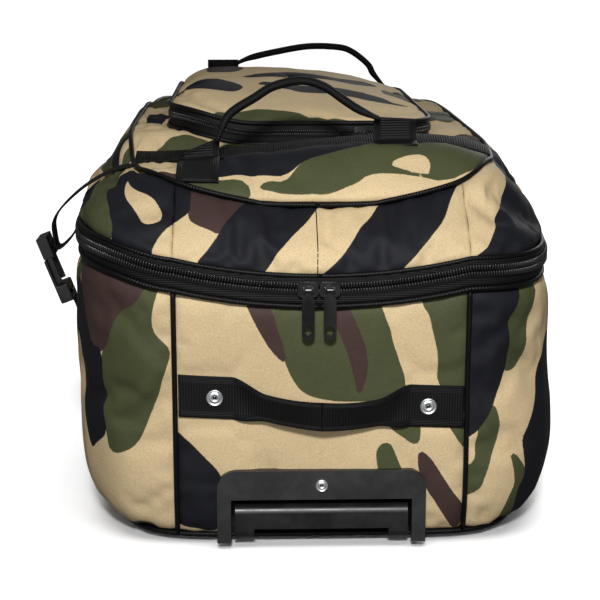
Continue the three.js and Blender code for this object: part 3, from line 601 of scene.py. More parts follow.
def inside_patch(points, corners):
    """Signed distance into a polygon, positive inside."""
    p = rounded(corners)
    gap = np.full(len(points), 1e9)
    odd = np.zeros(len(points), bool)
    for a, b in zip(p, np.roll(p, -1, 0)):
        d = b - a
        t = np.clip((points - a) @ d / max(d @ d, 1e-9), 0, 1)
        gap = np.minimum(gap, np.linalg.norm(points - a - t[:, None] * d, axis=1))
        if a[1] != b[1]:
            crosses = (a[1] > points[:, 1]) != (b[1] > points[:, 1])
            odd ^= crosses & (points[:, 0] < (points[:, 1] - a[1]) * d[0] / d[1] + a[0])
    return np.where(odd, gap, -gap)


def inside_stroke(points, chain):
    """Signed distance into a chain of (u, v, radius)."""
    chain = np.asarray(chain, float)
    best = np.full(len(points), -90.0)
    for a, b in zip(chain[:-1], chain[1:]):
        d = b[:2] - a[:2]
        t = np.clip((points - a[:2]) @ d / max(d @ d, 1e-6), 0, 1)
        gap = np.linalg.norm(points - a[:2] - t[:, None] * d, axis=1)
        best = np.maximum(best, lerp(a[2], b[2], t) - gap)
    return best


def drifted(points, size, first, second):
    """A pair of noises at each point, to move it by."""
    return np.stack([noise(points, size, first), noise(points, size, second)], -1)


def distance(points, patches, bare, seed):
    """How far inside the patches each point is, in millimetres. Bare patches are left unprinted."""
    loose = smooth(250, 330, np.abs(points[:, :1]))
    p = points + drifted(points, 30, seed, seed + 7) * 1.8
    p = p + 11 * loose * drifted(points, 52, seed + 3, seed + 5)
    best = np.full(len(points), UNPRINTED)
    for patch in patches:
        one = inside_stroke(p, patch) if len(patch[0]) == 3 else inside_patch(p, patch)
        best = np.maximum(best, one)
    for patch in bare:
        best = np.minimum(best, -inside_patch(p, patch))
    return best + PRINT_SPREAD


def scatter(seed, u_range, v_range, spacing, lean=(0.3, 1.0)):
    """Loose camouflage strokes over a stretch of panel that needs no particular layout."""
    rng = np.random.default_rng(seed)
    shapes = {"green": [], "brown": [], "black": []}
    u0, u1 = min(u_range), max(u_range)
    v0, v1 = v_range
    kinds = ("green", "black", "brown")
    steps = max(1, int((u1 - u0) / spacing))
    for k in range(steps):
        for row in range(max(1, round((v1 - v0) / SCATTER_ROW))):
            kind = kinds[(k + row * 2) % 3]
            radius = {"green": 36, "black": 27, "brown": 23}[kind] * rng.uniform(0.8, 1.2)
            u = u0 + (k + rng.uniform(0.1, 0.9)) * (u1 - u0) / steps
            v = v0 + (row + rng.uniform(0.0, 0.9)) * SCATTER_ROW
            heading = np.array([lean[0] * rng.choice([-1, 1]) + rng.uniform(-0.3, 0.3), lean[1]])
            chain = []
            for step in range(rng.integers(3, 6)):
                chain.append((u, v, radius * rng.uniform(0.5, 1.1) * (1 - 0.12 * step)))
                length = rng.uniform(24, 42)
                u, v = u + heading[0] * length, v + heading[1] * length
                heading = heading + rng.uniform(-0.5, 0.5, 2)
            shapes[kind].append(chain)
    return shapes


def merged(*sets):
    result = {"green": [], "brown": [], "black": [], "bare": []}
    for shapes in sets:
        for colour, strokes in shapes.items():
            result[colour] = result[colour] + strokes
    return result


# Patches as corners in each panel's own millimetres: (run along the bag, height) on the lower box,
# (run, distance up from the zip) on the upper sides, and (x, y) on the top and the flap.
FRONT_CAMO = {
    "green": [
        [(-50, 240), (-40, 197), (-32, 176), (-30, 166), (-26, 154), (-18, 142), (-7, 135), (20, 131),
         (50, 132), (72, 138), (70, 149), (62, 170), (55, 192), (48, 212), (45, 240)],
        [(84, 240), (86, 215), (93, 207), (95, 190), (100, 169), (101, 140), (135, 140), (135, 240)],
        [(54, 128), (56, 113), (67, 102), (78, 93), (83, 95), (82, 128)],
        [(46, 87), (52, 93), (58, 93), (62, 84), (69, 66), (70, 58), (51, 58)],
        [(108, 112), (119, 94), (135, 78), (135, 112)],
    ],
    "brown": [
        [(-72, 240), (-66, 222), (-61, 209), (-54, 194), (-42, 175), (-30, 163), (-32, 176), (-39, 197),
         (-47, 218), (-46, 240)],
        [(2, 240), (9, 209), (14, 194), (21, 175), (28, 154), (33, 134), (38, 157), (36, 175),
         (30, 192), (23, 210), (20, 240)],
        [(83, 87), (97, 74), (120, 38), (128, 24), (119, 8), (107, 28), (91, 55), (84, 73)],
    ],
    "black": [[(-140, 110), (-122, 100), (-106, 85), (-87, 66), (-85, 50), (-86, 14), (-104, 12),
               (-116, 18), (-140, 18)]],
}
LEFT_CAMO = {
    "green": [
        [(-152, 250), (-133, 250), (-143, 211), (-144, 198), (-141, 188), (-128, 175), (-135, 154),
         (-145, 122), (-155, 98), (-165, 86), (-178, 80), (-185, 84), (-186, 96), (-194, 126),
         (-192, 164), (-181, 187), (-171, 200), (-160, 209)],
        [(-176, 14), (-160, 17), (-143, 11), (-124, 6), (-124, -5), (-176, -5)],
        [(-262, 235), (-246, 230), (-238, 205), (-244, 185), (-262, 195)],
    ],
    "brown": [
        [(-250, 250), (-140, 250), (-152, 221), (-159, 210), (-173, 200), (-182, 185), (-190, 168),
         (-208, 168), (-218, 192), (-234, 214)],
    ],
    "black": [
        [(-262, 196), (-240, 212), (-230, 206), (-218, 192), (-208, 169), (-191, 169), (-194, 126),
         (-187, 96), (-204, 86), (-212, 78), (-222, 116), (-236, 160), (-250, 180)],
    ],
}
RIGHT_CAMO = {
    "green": [
        [(182, 250), (226, 250), (197, 219), (190, 195), (188, 180), (182, 160), (175, 151), (163, 150),
         (163, 187), (172, 217)],
        [(138, 112), (150, 128), (156, 101), (151, 87), (142, 64), (137, 48), (115, 36), (115, 66),
         (134, 70), (137, 101)],
        [(165, 84), (181, 60), (182, 46), (175, 5), (150, 0), (168, 44), (172, 52)],
    ],
    "brown": [],
    "black": [
        [(115, 250), (188, 250), (175, 217), (165, 201), (164, 187), (166, 168), (165, 152), (150, 127),
         (141, 113), (135, 103), (115, 90)],
        [(230, 176), (206, 146), (192, 113), (177, 91), (182, 56), (174, 46), (174, -5), (275, -5),
         (275, 160)],
    ],
}
GUSSET_CAMO = {
    "green": [],
    "brown": [[(-113, 100), (-58, 100), (-62, 72), (-75, 54), (-86, 38), (-93, 41), (-104, 45),
               (-111, 50), (-112, 62)]],
    "black": [
        [(-135, 100), (-113, 100), (-112, 62), (-113, 55), (-135, 40)],
        [(-58, 100), (6, 100), (-2, 78), (-17, 51), (-39, 19), (-56, -10), (-110, -10), (-87, 36),
         (-75, 54), (-62, 72)],
        [(50, 70), (60, 100), (140, 110), (124, 93), (112, 72), (104, 50), (88, 33), (73, 12),
         (56, -10), (-8, -10), (12, 12), (25, 28), (36, 47)],
    ],
}
GUSSET_LEFT_CAMO = {
    "green": [[(-275, 105), (-236, 95), (-228, 62), (-212, 52), (-190, 38), (-176, 16), (-186, -8),
               (-230, -8), (-275, 10)]],
    "brown": [],
    "black": [
        [(-226, 100), (-115, 100), (-115, 54), (-133, 38), (-141, 14), (-144, -10), (-182, -10),
         (-174, 18), (-190, 38), (-212, 52), (-230, 66)],
    ],
    "bare": [[(-194, 85), (-182, 77), (-149, 72), (-138, 62), (-133, 47), (-142, 39), (-152, 37),
              (-160, 48), (-180, 58), (-190, 68)]],
}
GUSSET_RIGHT_CAMO = {
    "green": [],
    "brown": [],
    "black": [[(235, 115), (190, 72), (168, 60), (158, 52), (155, 40), (145, 20), (139, 10), (118, -10),
               (300, -10), (300, 115)]],
}
TOP_CAMO = {
    "green": [
        [(-56, -346), (-43, -341), (-28, -340), (-19, -329), (-7, -317), (12, -310), (35, -302),
         (60, -294), (85, -288), (115, -262), (165, -262), (166, -300), (146, -320), (121, -337),
         (107, -340), (86, -336), (66, -333), (46, -333), (9, -352), (-14, -350)],
        [(-132, -330), (-97, -337), (-66, -341), (-58, -356), (-112, -356), (-135, -342)],
        [(-165, -262), (-128, -212), (-92, -222), (-92, -262), (-130, -278)],
        [(-92, -262), (-86, -220), (-40, -205), (-36, -240), (-60, -266)],
        [(118, -10), (190, 0), (190, 150), (126, 130)],
        [(-190, 40), (-150, 20), (-140, 120), (-190, 150)],
    ],
    "brown": [
        [(-150, -318), (-112, -334), (-128, -345), (-160, -330)],
        [(135, -170), (190, -190), (190, -90), (150, -100)],
    ],
    "black": [
        [(-104, -332), (-37, -334), (-24, -328), (-9, -317), (12, -310), (35, -302), (62, -295),
         (70, -255), (-20, -248), (-110, -262), (-120, -300)],
        [(-172, -145), (-152, -132), (-144, -60), (-168, -45)],
    ],
    "bare": [[(56, -325), (84, -313), (95, -315), (99, -325), (96, -337), (84, -335), (70, -331)]],
}
FLAP_CAMO = {
    "green": [
        [(-98, -200), (-70, -183), (-45, -180), (-20, -186), (20, -196), (66, -210), (-20, -214),
         (-84, -214)],
        [(84, -60), (130, -80), (130, 60), (96, 40), (78, -10)],
        [(-30, 130), (40, 110), (70, 150), (20, 190), (-50, 175)],
    ],
    "brown": [[(-110, 40), (-80, 20), (-62, 70), (-78, 130), (-104, 110)]],
    "black": [
        [(-145, -92), (-112, -50), (-82, -70), (-64, -100), (-72, -124), (-96, -122), (-126, -112)],
        [(-40, -84, 10), (-8, -96, 17), (28, -92, 20), (58, -112, 17), (84, -122, 10)],
        [(-52, -20, 14), (-10, 10, 20), (40, 4, 16), (66, 30, 12)],
    ],
}


# ---------- materials ----------
def new_material(name, roughness, color=None, metallic=0.0, specular=0.5):
    material = bpy.data.materials.new(name)
    material.use_nodes = True
    shader = material.node_tree.nodes["Principled BSDF"]
    shader.inputs["Roughness"].default_value = roughness
    shader.inputs["Metallic"].default_value = metallic
    shader.inputs["Specular IOR Level"].default_value = specular
    if color is not None:
        shader.inputs["Base Color"].default_value = (*color, 1)
    return material, material.node_tree, shader


def add(tree, kind, **settings):
    node = tree.nodes.new(kind)
    for key, value in settings.items():
        setattr(node, key, value)
    return node


def object_space(tree):
    return add(tree, "ShaderNodeTexCoord").outputs["Object"]


def run_space(tree):
    """Coordinates along and across a strap, tape or panel."""
    return add(tree, "ShaderNodeUVMap", uv_map="run").outputs[0]


def speckle(tree, coords, scale, detail, roughness=0.5):
    node = add(tree, "ShaderNodeTexNoise")
    tree.links.new(coords, node.inputs["Vector"])
    node.inputs["Scale"].default_value = scale
    node.inputs["Detail"].default_value = detail
    node.inputs["Roughness"].default_value = roughness
    return node.outputs["Fac"]


def math_node(tree, operation, a, b):
    node = add(tree, "ShaderNodeMath", operation=operation)
    for socket, value in zip(node.inputs, (a, b)):
        if isinstance(value, (int, float)):
            socket.default_value = value
        else:
            tree.links.new(value, socket)
    return node.outputs[0]


def mix_color(tree, factor, a, b, blend="MIX"):
    node = add(tree, "ShaderNodeMix", data_type="RGBA", blend_type=blend)
    for socket, value in ((node.inputs[0], factor), (node.inputs[6], a), (node.inputs[7], b)):
        if isinstance(value, (int, float)):
            socket.default_value = value
        elif isinstance(value, tuple):
            socket.default_value = (*value, 1)
        else:
            tree.links.new(value, socket)
    return node.outputs[2]


def ramp(tree, value, low, high, to=(0.0, 1.0)):
    node = add(tree, "ShaderNodeMapRange", interpolation_type="SMOOTHSTEP")
    tree.links.new(value, node.inputs["Value"])
    node.inputs["From Min"].default_value = low
    node.inputs["From Max"].default_value = high
    node.inputs["To Min"].default_value = to[0]
    node.inputs["To Max"].default_value = to[1]
    return node.outputs["Result"]


def bump(tree, height, strength, distance_mm, shader, before=None):
    node = add(tree, "ShaderNodeBump")
    node.inputs["Strength"].default_value = strength
    node.inputs["Distance"].default_value = distance_mm * MM
    tree.links.new(height, node.inputs["Height"])
    if before is not None:
        tree.links.new(before, node.inputs["Normal"])
    tree.links.new(node.outputs["Normal"], shader.inputs["Normal"])
    return node.outputs["Normal"]


def weave(tree, coords, pitch_mm):
    """Over-and-under threads as a height, in the piece's own run coordinates (metres)."""
    scale = add(tree, "ShaderNodeVectorMath", operation="SCALE")
    tree.links.new(coords, scale.inputs[0])
    scale.inputs["Scale"].default_value = math.pi / (pitch_mm * MM)
    parts = add(tree, "ShaderNodeSeparateXYZ")
    tree.links.new(scale.outputs[0], parts.inputs[0])
    a = math_node(tree, "SINE", parts.outputs[0], 0.0)
    b = math_node(tree, "SINE", parts.outputs[1], 0.0)
    return math_node(tree, "MULTIPLY", a, b)


def camo_material():
    material, tree, shader = new_material("camo_twill", 0.68, specular=0.2)
    object_coords = object_space(tree)
    run = run_space(tree)
    fuzz = speckle(tree, object_coords, 700, 2.0)
    edge = ramp(tree, fuzz, 0.2, 0.8, (-0.2, 0.2))
    color = (0.605, 0.465, 0.268)
    for layer, paint in (
        ("green", (0.062, 0.069, 0.029)),
        ("brown", (0.052, 0.030, 0.026)),
        ("black", (0.0085, 0.0090, 0.0125)),
    ):
        inside = add(tree, "ShaderNodeAttribute", attribute_name=layer).outputs["Fac"]
        mask = ramp(tree, math_node(tree, "ADD", inside, edge), -0.4, 0.4)
        color = mix_color(tree, mask, color, paint)
    patch = speckle(tree, object_coords, 14, 3.0)
    tone = ramp(tree, patch, 0.3, 0.7, (0.93, 1.05))
    grain = speckle(tree, object_coords, 1100, 1.0)
    speck = ramp(tree, grain, 0.25, 0.75, (0.86, 1.12))
    value = math_node(tree, "MULTIPLY", tone, speck)
    shade = add(tree, "ShaderNodeCombineColor")
    for socket in shade.inputs[:3]:
        tree.links.new(value, socket)
    color = mix_color(tree, 1.0, color, shade.outputs[0], "MULTIPLY")
    tree.links.new(color, shader.inputs["Base Color"])
    tree.links.new(ramp(tree, patch, 0.2, 0.8, (0.6, 0.75)), shader.inputs["Roughness"])
    wrinkle = speckle(tree, object_coords, 75, 3.0, 0.55)
    first = bump(tree, wrinkle, 0.25, 2.2, shader)
    threads = math_node(tree, "ADD", weave(tree, run, 0.85), grain)
    bump(tree, threads, 0.35, 0.12, shader, first)
    return material


def cloth_material(name, color, roughness, pitch, strength=0.4):
    """Plain dyed cloth with a visible weave."""
    material, tree, shader = new_material(name, roughness, specular=0.16)
    object_coords = object_space(tree)
    grain = speckle(tree, object_coords, 900, 2.0)
    patch = speckle(tree, object_coords, 30, 3.0)
    both = math_node(tree, "ADD", grain, patch)
    pale = tuple(min(1, c * 1.7 + 0.001) for c in color)
    tone = mix_color(tree, ramp(tree, both, 0.6, 1.4), color, pale)
    tree.links.new(tone, shader.inputs["Base Color"])
    run = run_space(tree)
    threads = math_node(tree, "ADD", weave(tree, run, pitch), grain)
    bump(tree, threads, strength, 0.25, shader)
    return material


def wave(tree, value, pitch_mm):
    turns = math_node(tree, "MULTIPLY", value, 2 * math.pi / (pitch_mm * MM))
    return math_node(tree, "SINE", turns, 0.0)


def webbing_material():
    """Woven polyester webbing: fine ribs across its width, crossed by flat warp cords."""
    material, tree, shader = new_material("webbing_black", 0.6, specular=0.22)
    run = run_space(tree)
    parts = add(tree, "ShaderNodeSeparateXYZ")
    tree.links.new(run, parts.inputs[0])
    along, across = parts.outputs[0], parts.outputs[1]
    ribs = wave(tree, along, 2.3)
    cords = wave(tree, across, 1.5)
    from_middle = math_node(tree, "ABSOLUTE", across, 0.0)
    border = ramp(tree, from_middle, 0.0124, 0.0134)
    inner = math_node(tree, "MULTIPLY", ribs, math_node(tree, "SUBTRACT", 1.0, border))
    edge = math_node(tree, "MULTIPLY", cords, math_node(tree, "ADD", border, 0.25))
    height = math_node(tree, "ADD", inner, edge)
    object_coords = object_space(tree)
    grain = speckle(tree, object_coords, 800, 2.0)
    # The colour is darker in the weave's grooves and lighter on its ribs and cords: painted shade and
    # highlight of the weave, mixed with random grain flecks.
    weave_shade_and_fleck = ramp(tree, math_node(tree, "ADD", height, grain), -1.0, 2.0)
    tone = mix_color(tree, weave_shade_and_fleck, (0.001, 0.001, 0.0011), (0.0062, 0.0062, 0.0064))
    tree.links.new(tone, shader.inputs["Base Color"])
    bump(tree, height, 0.6, 0.35, shader)
    return material


def plastic_material(name, color, roughness, grain_mm=0.5, strength=0.12, specular=0.5):
    """Moulded plastic with a fine spark-eroded grain and slightly worn, uneven gloss."""
    material, tree, shader = new_material(name, roughness, specular=specular)
    object_coords = object_space(tree)
    grain = speckle(tree, object_coords, 1000 / grain_mm, 2.0)
    wear = speckle(tree, object_coords, 45, 5.0, 0.65)
    pale = tuple(min(1, c * 1.5 + 0.003) for c in color)
    tone = mix_color(tree, ramp(tree, wear, 0.35, 0.75), color, pale)
    tree.links.new(tone, shader.inputs["Base Color"])
    gloss = ramp(tree, wear, 0.25, 0.75, (roughness - 0.06, roughness + 0.08))
    tree.links.new(gloss, shader.inputs["Roughness"])
    bump(tree, grain, strength, 0.15, shader)
    return material


def metal_material(name, color, roughness):
    material, tree, shader = new_material(name, roughness, color, 1.0)
    object_coords = object_space(tree)
    stretch = add(tree, "ShaderNodeVectorMath", operation="MULTIPLY")
    tree.links.new(object_coords, stretch.inputs[0])
    stretch.inputs[1].default_value = (1, 0.04, 1)
    brushed = speckle(tree, stretch.outputs[0], 1600, 3.0)
    smudge = speckle(tree, object_coords, 60, 4.0)
    gloss = ramp(tree, smudge, 0.3, 0.7, (roughness * 0.8, roughness * 1.3))
    tree.links.new(gloss, shader.inputs["Roughness"])
    bump(tree, brushed, 0.08, 0.1, shader)
    return material


CAMO = camo_material()
LINING = cloth_material("lining_black", (0.012, 0.012, 0.013), 0.85, 0.9)
TAPE = cloth_material("zip_tape_black", (0.0026, 0.0026, 0.0028), 0.55, 1.1, 0.5)
PIPING = cloth_material("piping_black", (0.0024, 0.0024, 0.0025), 0.42, 1.4, 0.5)
WEBBING = webbing_material()
TEETH = plastic_material("zip_teeth_black", (0.010, 0.010, 0.011), 0.24, 0.8, 0.05, 0.6)
PULL = plastic_material("zip_pull_black", (0.006, 0.006, 0.006), 0.2, 0.9, 0.04, 0.6)
PLASTIC = plastic_material("moulded_black", (0.016, 0.0163, 0.0166), 0.46, 0.45, 0.25)
GRIP = plastic_material("grip_black", (0.008, 0.008, 0.0082), 0.34, 0.5, 0.14)
BUCKLE = plastic_material("buckle_black", (0.007, 0.007, 0.0075), 0.36, 0.5, 0.1)
BOARD = plastic_material("board_black", (0.014, 0.014, 0.014), 0.6, 1.4, 0.4)
TYRE = plastic_material("tyre_rubber", (0.012, 0.012, 0.012), 0.7, 0.8, 0.35, 0.3)
HUB = plastic_material("hub_grey", (0.03, 0.03, 0.031), 0.42, 0.5, 0.12)
STEEL = metal_material("nickel_steel", (0.80, 0.81, 0.83), 0.34)
TUBE = metal_material("anodised_tube", (0.42, 0.43, 0.45), 0.34)


# ---------- soft panels ----------
def near_edges(flat, wrapped):
    """Rough distance of each grid point from the panel's four borders, in millimetres."""
    rows, columns = flat.shape[:2]
    step_u = np.linalg.norm(np.diff(flat, axis=1), axis=-1).mean()
    step_v = np.linalg.norm(np.diff(flat, axis=0), axis=-1).mean()
    c = np.minimum(np.arange(columns), np.arange(columns)[::-1]) * step_u
    r = np.arange(rows) * step_v
    low = np.repeat(r[:, None], columns, 1)
    high = np.repeat(r[::-1][:, None], columns, 1)
    ends = np.full((rows, columns), 1e3) if wrapped else np.repeat(c[None], rows, 0)
    return ends, low, high


def dressed(panel, grid, flat, pucker):
    """Pads a panel out and gives it seam puckers and loose folds. Open ends run on into the next panel."""
    seed, bulge, folds, wrapped = (panel[key] for key in ("seed", "bulge", "folds", "wrapped"))
    ends, low, high = near_edges(flat, wrapped or panel["open_ends"])
    inside = np.minimum(ends, np.minimum(low, high))
    full = 1 - np.exp(-inside / 22)
    lift = bulge * full
    lift = lift + folds * full * noise(flat * np.array([1.0, 0.55]), 46, seed)
    lift = lift + 0.55 * folds * full * (creases(flat * np.array([1.0, 0.4]), 33, seed + 3) - 0.35)
    for gap, axis in ((ends, 1), (low, 0), (high, 0)):
        beat = noise(np.stack([flat[..., axis], flat[..., 1 - axis] * 0.15], -1), 8.5, seed + 11 + axis)
        lift = lift - pucker * 1.1 * np.exp(-gap / 11) * (0.6 + beat)
        lift = lift - pucker * 1.6 * np.exp(-gap / 3.0)
    return grid + grid_normals(grid, wrapped) * lift[..., None]


def panel_grid(panel, size):
    make_grid, *stretch = panel["shape"]
    return make_grid(*stretch, *size)


def net_of(panel):
    """A coarse net of a panel, with the folds it starts from."""
    grid, _ = panel_grid(panel, panel["size"])
    around = np.linalg.norm(np.diff(grid, axis=1), axis=-1).sum(1).max()
    up = np.linalg.norm(np.diff(grid, axis=0), axis=-1).sum(0).mean()
    coarse = (max(8, round(around / NET_SPACING)), max(7, round(up / NET_SPACING)))
    return dressed(panel, *panel_grid(panel, coarse), 0.0)


def sewn_down(points):
    """Which points lie under something that is stitched or riveted to the cloth."""
    result = np.zeros(points.shape[:-1], bool)
    for low, high in SEWN:
        result |= np.all((points > np.array(low)) & (points < np.array(high)), -1)
    return result


def cloth_object(nets):
    """All the nets as one open mesh, wound outward. Their borders and what is sewn down are held still."""
    points, faces, held, start = [], [], [], 0
    for net, wrapped in nets:
        rows, columns = net.shape[:2]
        winding = np.cross(np.gradient(net, axis=1), np.gradient(net, axis=0))
        outward = np.sum(grid_normals(net, wrapped) * winding) > 0
        for r in range(start, start + (rows - 1) * columns, columns):
            for c in range(columns if wrapped else columns - 1):
                after = (c + 1) % columns
                face = (r + c, r + after, r + columns + after, r + columns + c)
                faces.append(face if outward else face[::-1])
        border = sewn_down(net)
        border[[0, -1]] = True
        if not wrapped:
            border[:, [0, -1]] = True
        held += [start + int(k) for k in np.flatnonzero(border)]
        points.append(net.reshape(-1, 3))
        start += rows * columns
    mesh = bpy.data.meshes.new("nets")
    mesh.from_pydata((np.concatenate(points) * MM).tolist(), [], faces)
    obj = linked("nets", mesh)
    obj.vertex_groups.new(name="held").add(held, 1.0, "REPLACE")
    return obj


def billowed(panels):
    """Cloth simulation of every panel at once: cut a little too large for its seams and pressed out by
    what the bag holds, each one buckles. Returns how far the points of each coarse net moved."""
    nets = [(net_of(panel), panel["wrapped"]) for panel in panels]
    obj = cloth_object(nets)
    cloth = obj.modifiers.new("cloth", "CLOTH")
    settings = cloth.settings
    settings.quality = 6
    settings.mass = 0.15
    settings.tension_stiffness = 12
    settings.compression_stiffness = 12
    settings.shear_stiffness = 4
    settings.bending_stiffness = 1.2
    settings.shrink_min = -CLOTH_SPARE
    settings.use_pressure = True
    settings.uniform_pressure_force = 3.0
    settings.vertex_group_mass = "held"
    settings.effector_weights.gravity = 0.0
    cloth.point_cache.frame_start = 1
    cloth.point_cache.frame_end = SIM_FRAMES
    scene = bpy.context.scene
    for number in range(1, SIM_FRAMES + 1):
        scene.frame_set(number)
    final = obj.evaluated_get(bpy.context.evaluated_depsgraph_get()).data
    after = np.zeros(len(final.vertices) * 3)
    final.vertices.foreach_get("co", after)
    after = after.reshape(-1, 3) / MM
    scene.frame_set(1)
    bpy.data.objects.remove(obj)
    moves, start = [], 0
    for net, _ in nets:
        rows, columns = net.shape[:2]
        moves.append(after[start : start + rows * columns].reshape(net.shape) - net)
        start += rows * columns
    return moves


def resampled(field, count, closed=False):
    """A field of vectors at more, evenly spaced places along its first axis."""
    n = len(field)
    at = np.linspace(0, n if closed else n - 1, count, endpoint=not closed)
    i = np.minimum(np.floor(at).astype(int), n - 1 if closed else n - 2)
    t = (at - i)[:, None, None]
    near = [i + k for k in (-1, 0, 1, 2)]
    near = [k % n if closed else np.clip(k, 0, n - 1) for k in near]
    return curve_between(*(field[k] for k in near), t)


def limited(move, normal, out, back):
    """A movement held to out millimetres outward, back inward and 4 sideways."""
    rise = np.sum(move * normal, -1, keepdims=True)
    aside = move - rise * normal
    far = np.linalg.norm(aside, axis=-1, keepdims=True)
    held = np.where(rise > 0, out * np.tanh(rise / out), back * np.tanh(rise / back))
    return held * normal + aside * np.minimum(1, 4 / np.maximum(far, 1e-6))


def finish_panel(panel, move):
    """The panel's own piece. Returns its outer skin."""
    columns, rows = panel["size"]
    wrapped = panel["wrapped"]
    grid, flat = panel_grid(panel, panel["size"])
    normal = grid_normals(grid, wrapped)
    grid = dressed(panel, grid, flat, panel["pucker"])
    if move is not None:
        fine = resampled(resampled(move, rows).swapaxes(0, 1), columns, wrapped).swapaxes(0, 1)
        grid = grid + limited(fine, normal, *panel["give"])
    obj = panel_mesh(panel, grid, flat)
    place(obj, panel["body"], "camo_fabric", panel["node"])
    return grid


def panel_row(name, shape, size, body, camo, seed, puff, node, fill, give, pucker=1.0, bay=None):
    """What a panel is made from: its grid, points along and up, print, puff (bulge and folds), filling (not
    used), and give, the furthest that the simulation may move it out and in."""
    return {
        "name": name,
        "shape": shape,
        "size": size,
        "body": body,
        "camo": camo,
        "seed": seed,
        "bulge": puff[0],
        "folds": puff[1],
        "node": node,
        "fill": fill,
        "give": give,
        "pucker": pucker,
        "bay": bay,
        "wrapped": shape[0] in (top_grid, flap_grid),
        "open_ends": shape[0] is gusset_grid,
    }


def build_panels():
    side_left = merged(LEFT_CAMO, scatter(11, (-1100, -290), (10, 215), 52))
    side_right = merged(RIGHT_CAMO, scatter(12, (290, 1100), (10, 215), 52))
    rear = scatter(13, (120, 380), (10, 215), 50)
    upper_left = merged(GUSSET_LEFT_CAMO, scatter(21, (-1220, -260), (-10, 90), 56))
    upper_right = merged(GUSSET_RIGHT_CAMO, scatter(22, (260, 1220), (-10, 90), 56))
    top = merged(TOP_CAMO, scatter(51, (-190, 190), (215, 365), 60, (0.8, 0.5)))
    upper = {"puff": (3.6, 2.0), "fill": 0.4, "pucker": 1.4}
    panels = [
        panel_row("front_panel", (lower_grid, "front"), (84, 70), "bag", FRONT_CAMO, 31, (0.2, 1.0),
                  "lower_front_panel", 0.35, (2.2, 1.6), bay=(84, 62)),
        panel_row("side_panel_left", (lower_grid, "left"), (236, 56), "bag", side_left, 32, (3.0, 2.0),
                  "lower_side_left", 0.5, (6.0, 7.0)),
        panel_row("side_panel_right", (lower_grid, "right"), (236, 56), "bag", side_right, 33, (3.0, 2.0),
                  "lower_side_right", 0.5, (6.0, 7.0)),
        panel_row("rear_panel", (lower_grid, "rear"), (70, 56), "bag", rear, 34, (2.5, 1.5),
                  "lower_rear_panel", 0.5, (4.0, 5.0)),
        panel_row("front_gusset", (gusset_grid, "front"), (100, 30), "upper_half", GUSSET_CAMO, 41,
                  node="upper_front_gusset", give=(4.0, 4.0), **upper),
        panel_row("upper_side_panel_left", (gusset_grid, "left half"), (280, 30), "upper_half", upper_left,
                  41, node="upper_side_left", give=(5.0, 5.0), **upper),
        panel_row("upper_side_panel_right", (gusset_grid, "right half"), (280, 30), "upper_half", upper_right,
                  41, node="upper_side_right", give=(5.0, 5.0), **upper),
        panel_row("top_panel", (top_grid,), (300, 38), "upper_half", top, 44, (2.0, 2.2),
                  "upper_top_panel", 0.4, (2.6, 5.0)),
        panel_row("flap_panel", (flap_grid,), (260, 40), "flap", FLAP_CAMO, 45, (0.0, 1.6),
                  "top_flap", 0.45, (3.0, 3.0), pucker=0.6),
    ]
    moves = billowed(panels)
    return {panel["name"]: finish_panel(panel, move) for panel, move in zip(panels, moves)}


# ---------- piping, zips ----------
def loop_frame(ring, height, count):
    """Points round a loop with their outward direction."""
    points, _ = along_outline(ring, "loop", count + 1)
    points = points[:-1]
    t = unit(np.roll(points, -1, 0) - np.roll(points, 1, 0))
    out = np.column_stack([t[:, 1], -t[:, 0], np.zeros(count)])
    return settled(np.column_stack([points, height(points[:, 0], points[:, 1])])), out


def tape_band(name, lines, material, centre=(0, 0, 150)):
    """A tape through closed lines that lie one above another."""
    grid = np.array(lines)
    run = run_along(grid[0])
    flat = np.stack([np.repeat(run[None], len(grid), 0), grid[..., 2]], -1)
    inner = grid - grid_normals(grid, True, centre) * TAPE_THICKNESS
    return slab(name, grid, inner, flat, material, wrapped=True)


def teeth_row(name, path, out, pitch, size, tip, hinge_y):
    """Coil teeth round a loop: rounded bars standing across it. tip is +1 or -1, the way they reach. None
    stand behind hinge_y, where cloth joins the two halves."""
    line, dirs = np.vstack([path, path[:1]]), np.vstack([out, out[:1]])
    along = run_along(line)
    want = (np.arange(int(along[-1] / pitch)) + (0.5 if tip > 0 else 0.0)) * pitch
    want = want[np.interp(want, along, line[:, 1]) < hinge_y]
    centre = read_at(want, along, line)
    outward = unit(read_at(want, along, dirs))
    ahead = unit(np.gradient(centre, axis=0))
    up = unit(np.cross(outward, ahead))
    up = up * np.sign(up[:, 2:3] + 1e-9)
    # One tooth: a bar of six-sided section, pinched at its ends.
    shape, sides = [], 6
    for v, wide in ((-0.5, 0.55), (-0.25, 1.0), (0.3, 1.0), (0.5, 0.6)):
        for a in np.radians([0, 60, 120, 180, 240, 300]):
            shape.append((0.5 * wide * math.cos(a), v * tip, 0.5 * wide * math.sin(a)))
    shape = np.array(shape) * np.array(size)
    points = (
        centre[:, None]
        + ahead[:, None] * shape[None, :, 0:1]
        + up[:, None] * shape[None, :, 1:2]
        + outward[:, None] * shape[None, :, 2:3]
    ).reshape(-1, 3)
    corners = len(shape)
    tooth = ring_faces(corners // sides, sides)
    tooth += [tuple(range(sides))[::-1], tuple(range(corners - sides, corners))]
    faces = [tuple(i + start for i in face) for start in range(0, len(points), corners) for face in tooth]
    return make(name, points, faces, [TEETH], points[:, :2])


def zip_half(name, tape, edge, teeth, body, *nodes):
    """One half of a zip. edge is (line, radius) of its piping, and teeth what teeth_row needs."""
    line, radius = edge
    cord = cord_tube(f"{name}_cord", line, radius, True)
    place(joined(name, [tape, cord, teeth_row(f"{name}_teeth", *teeth)]), body, "zip", *nodes)


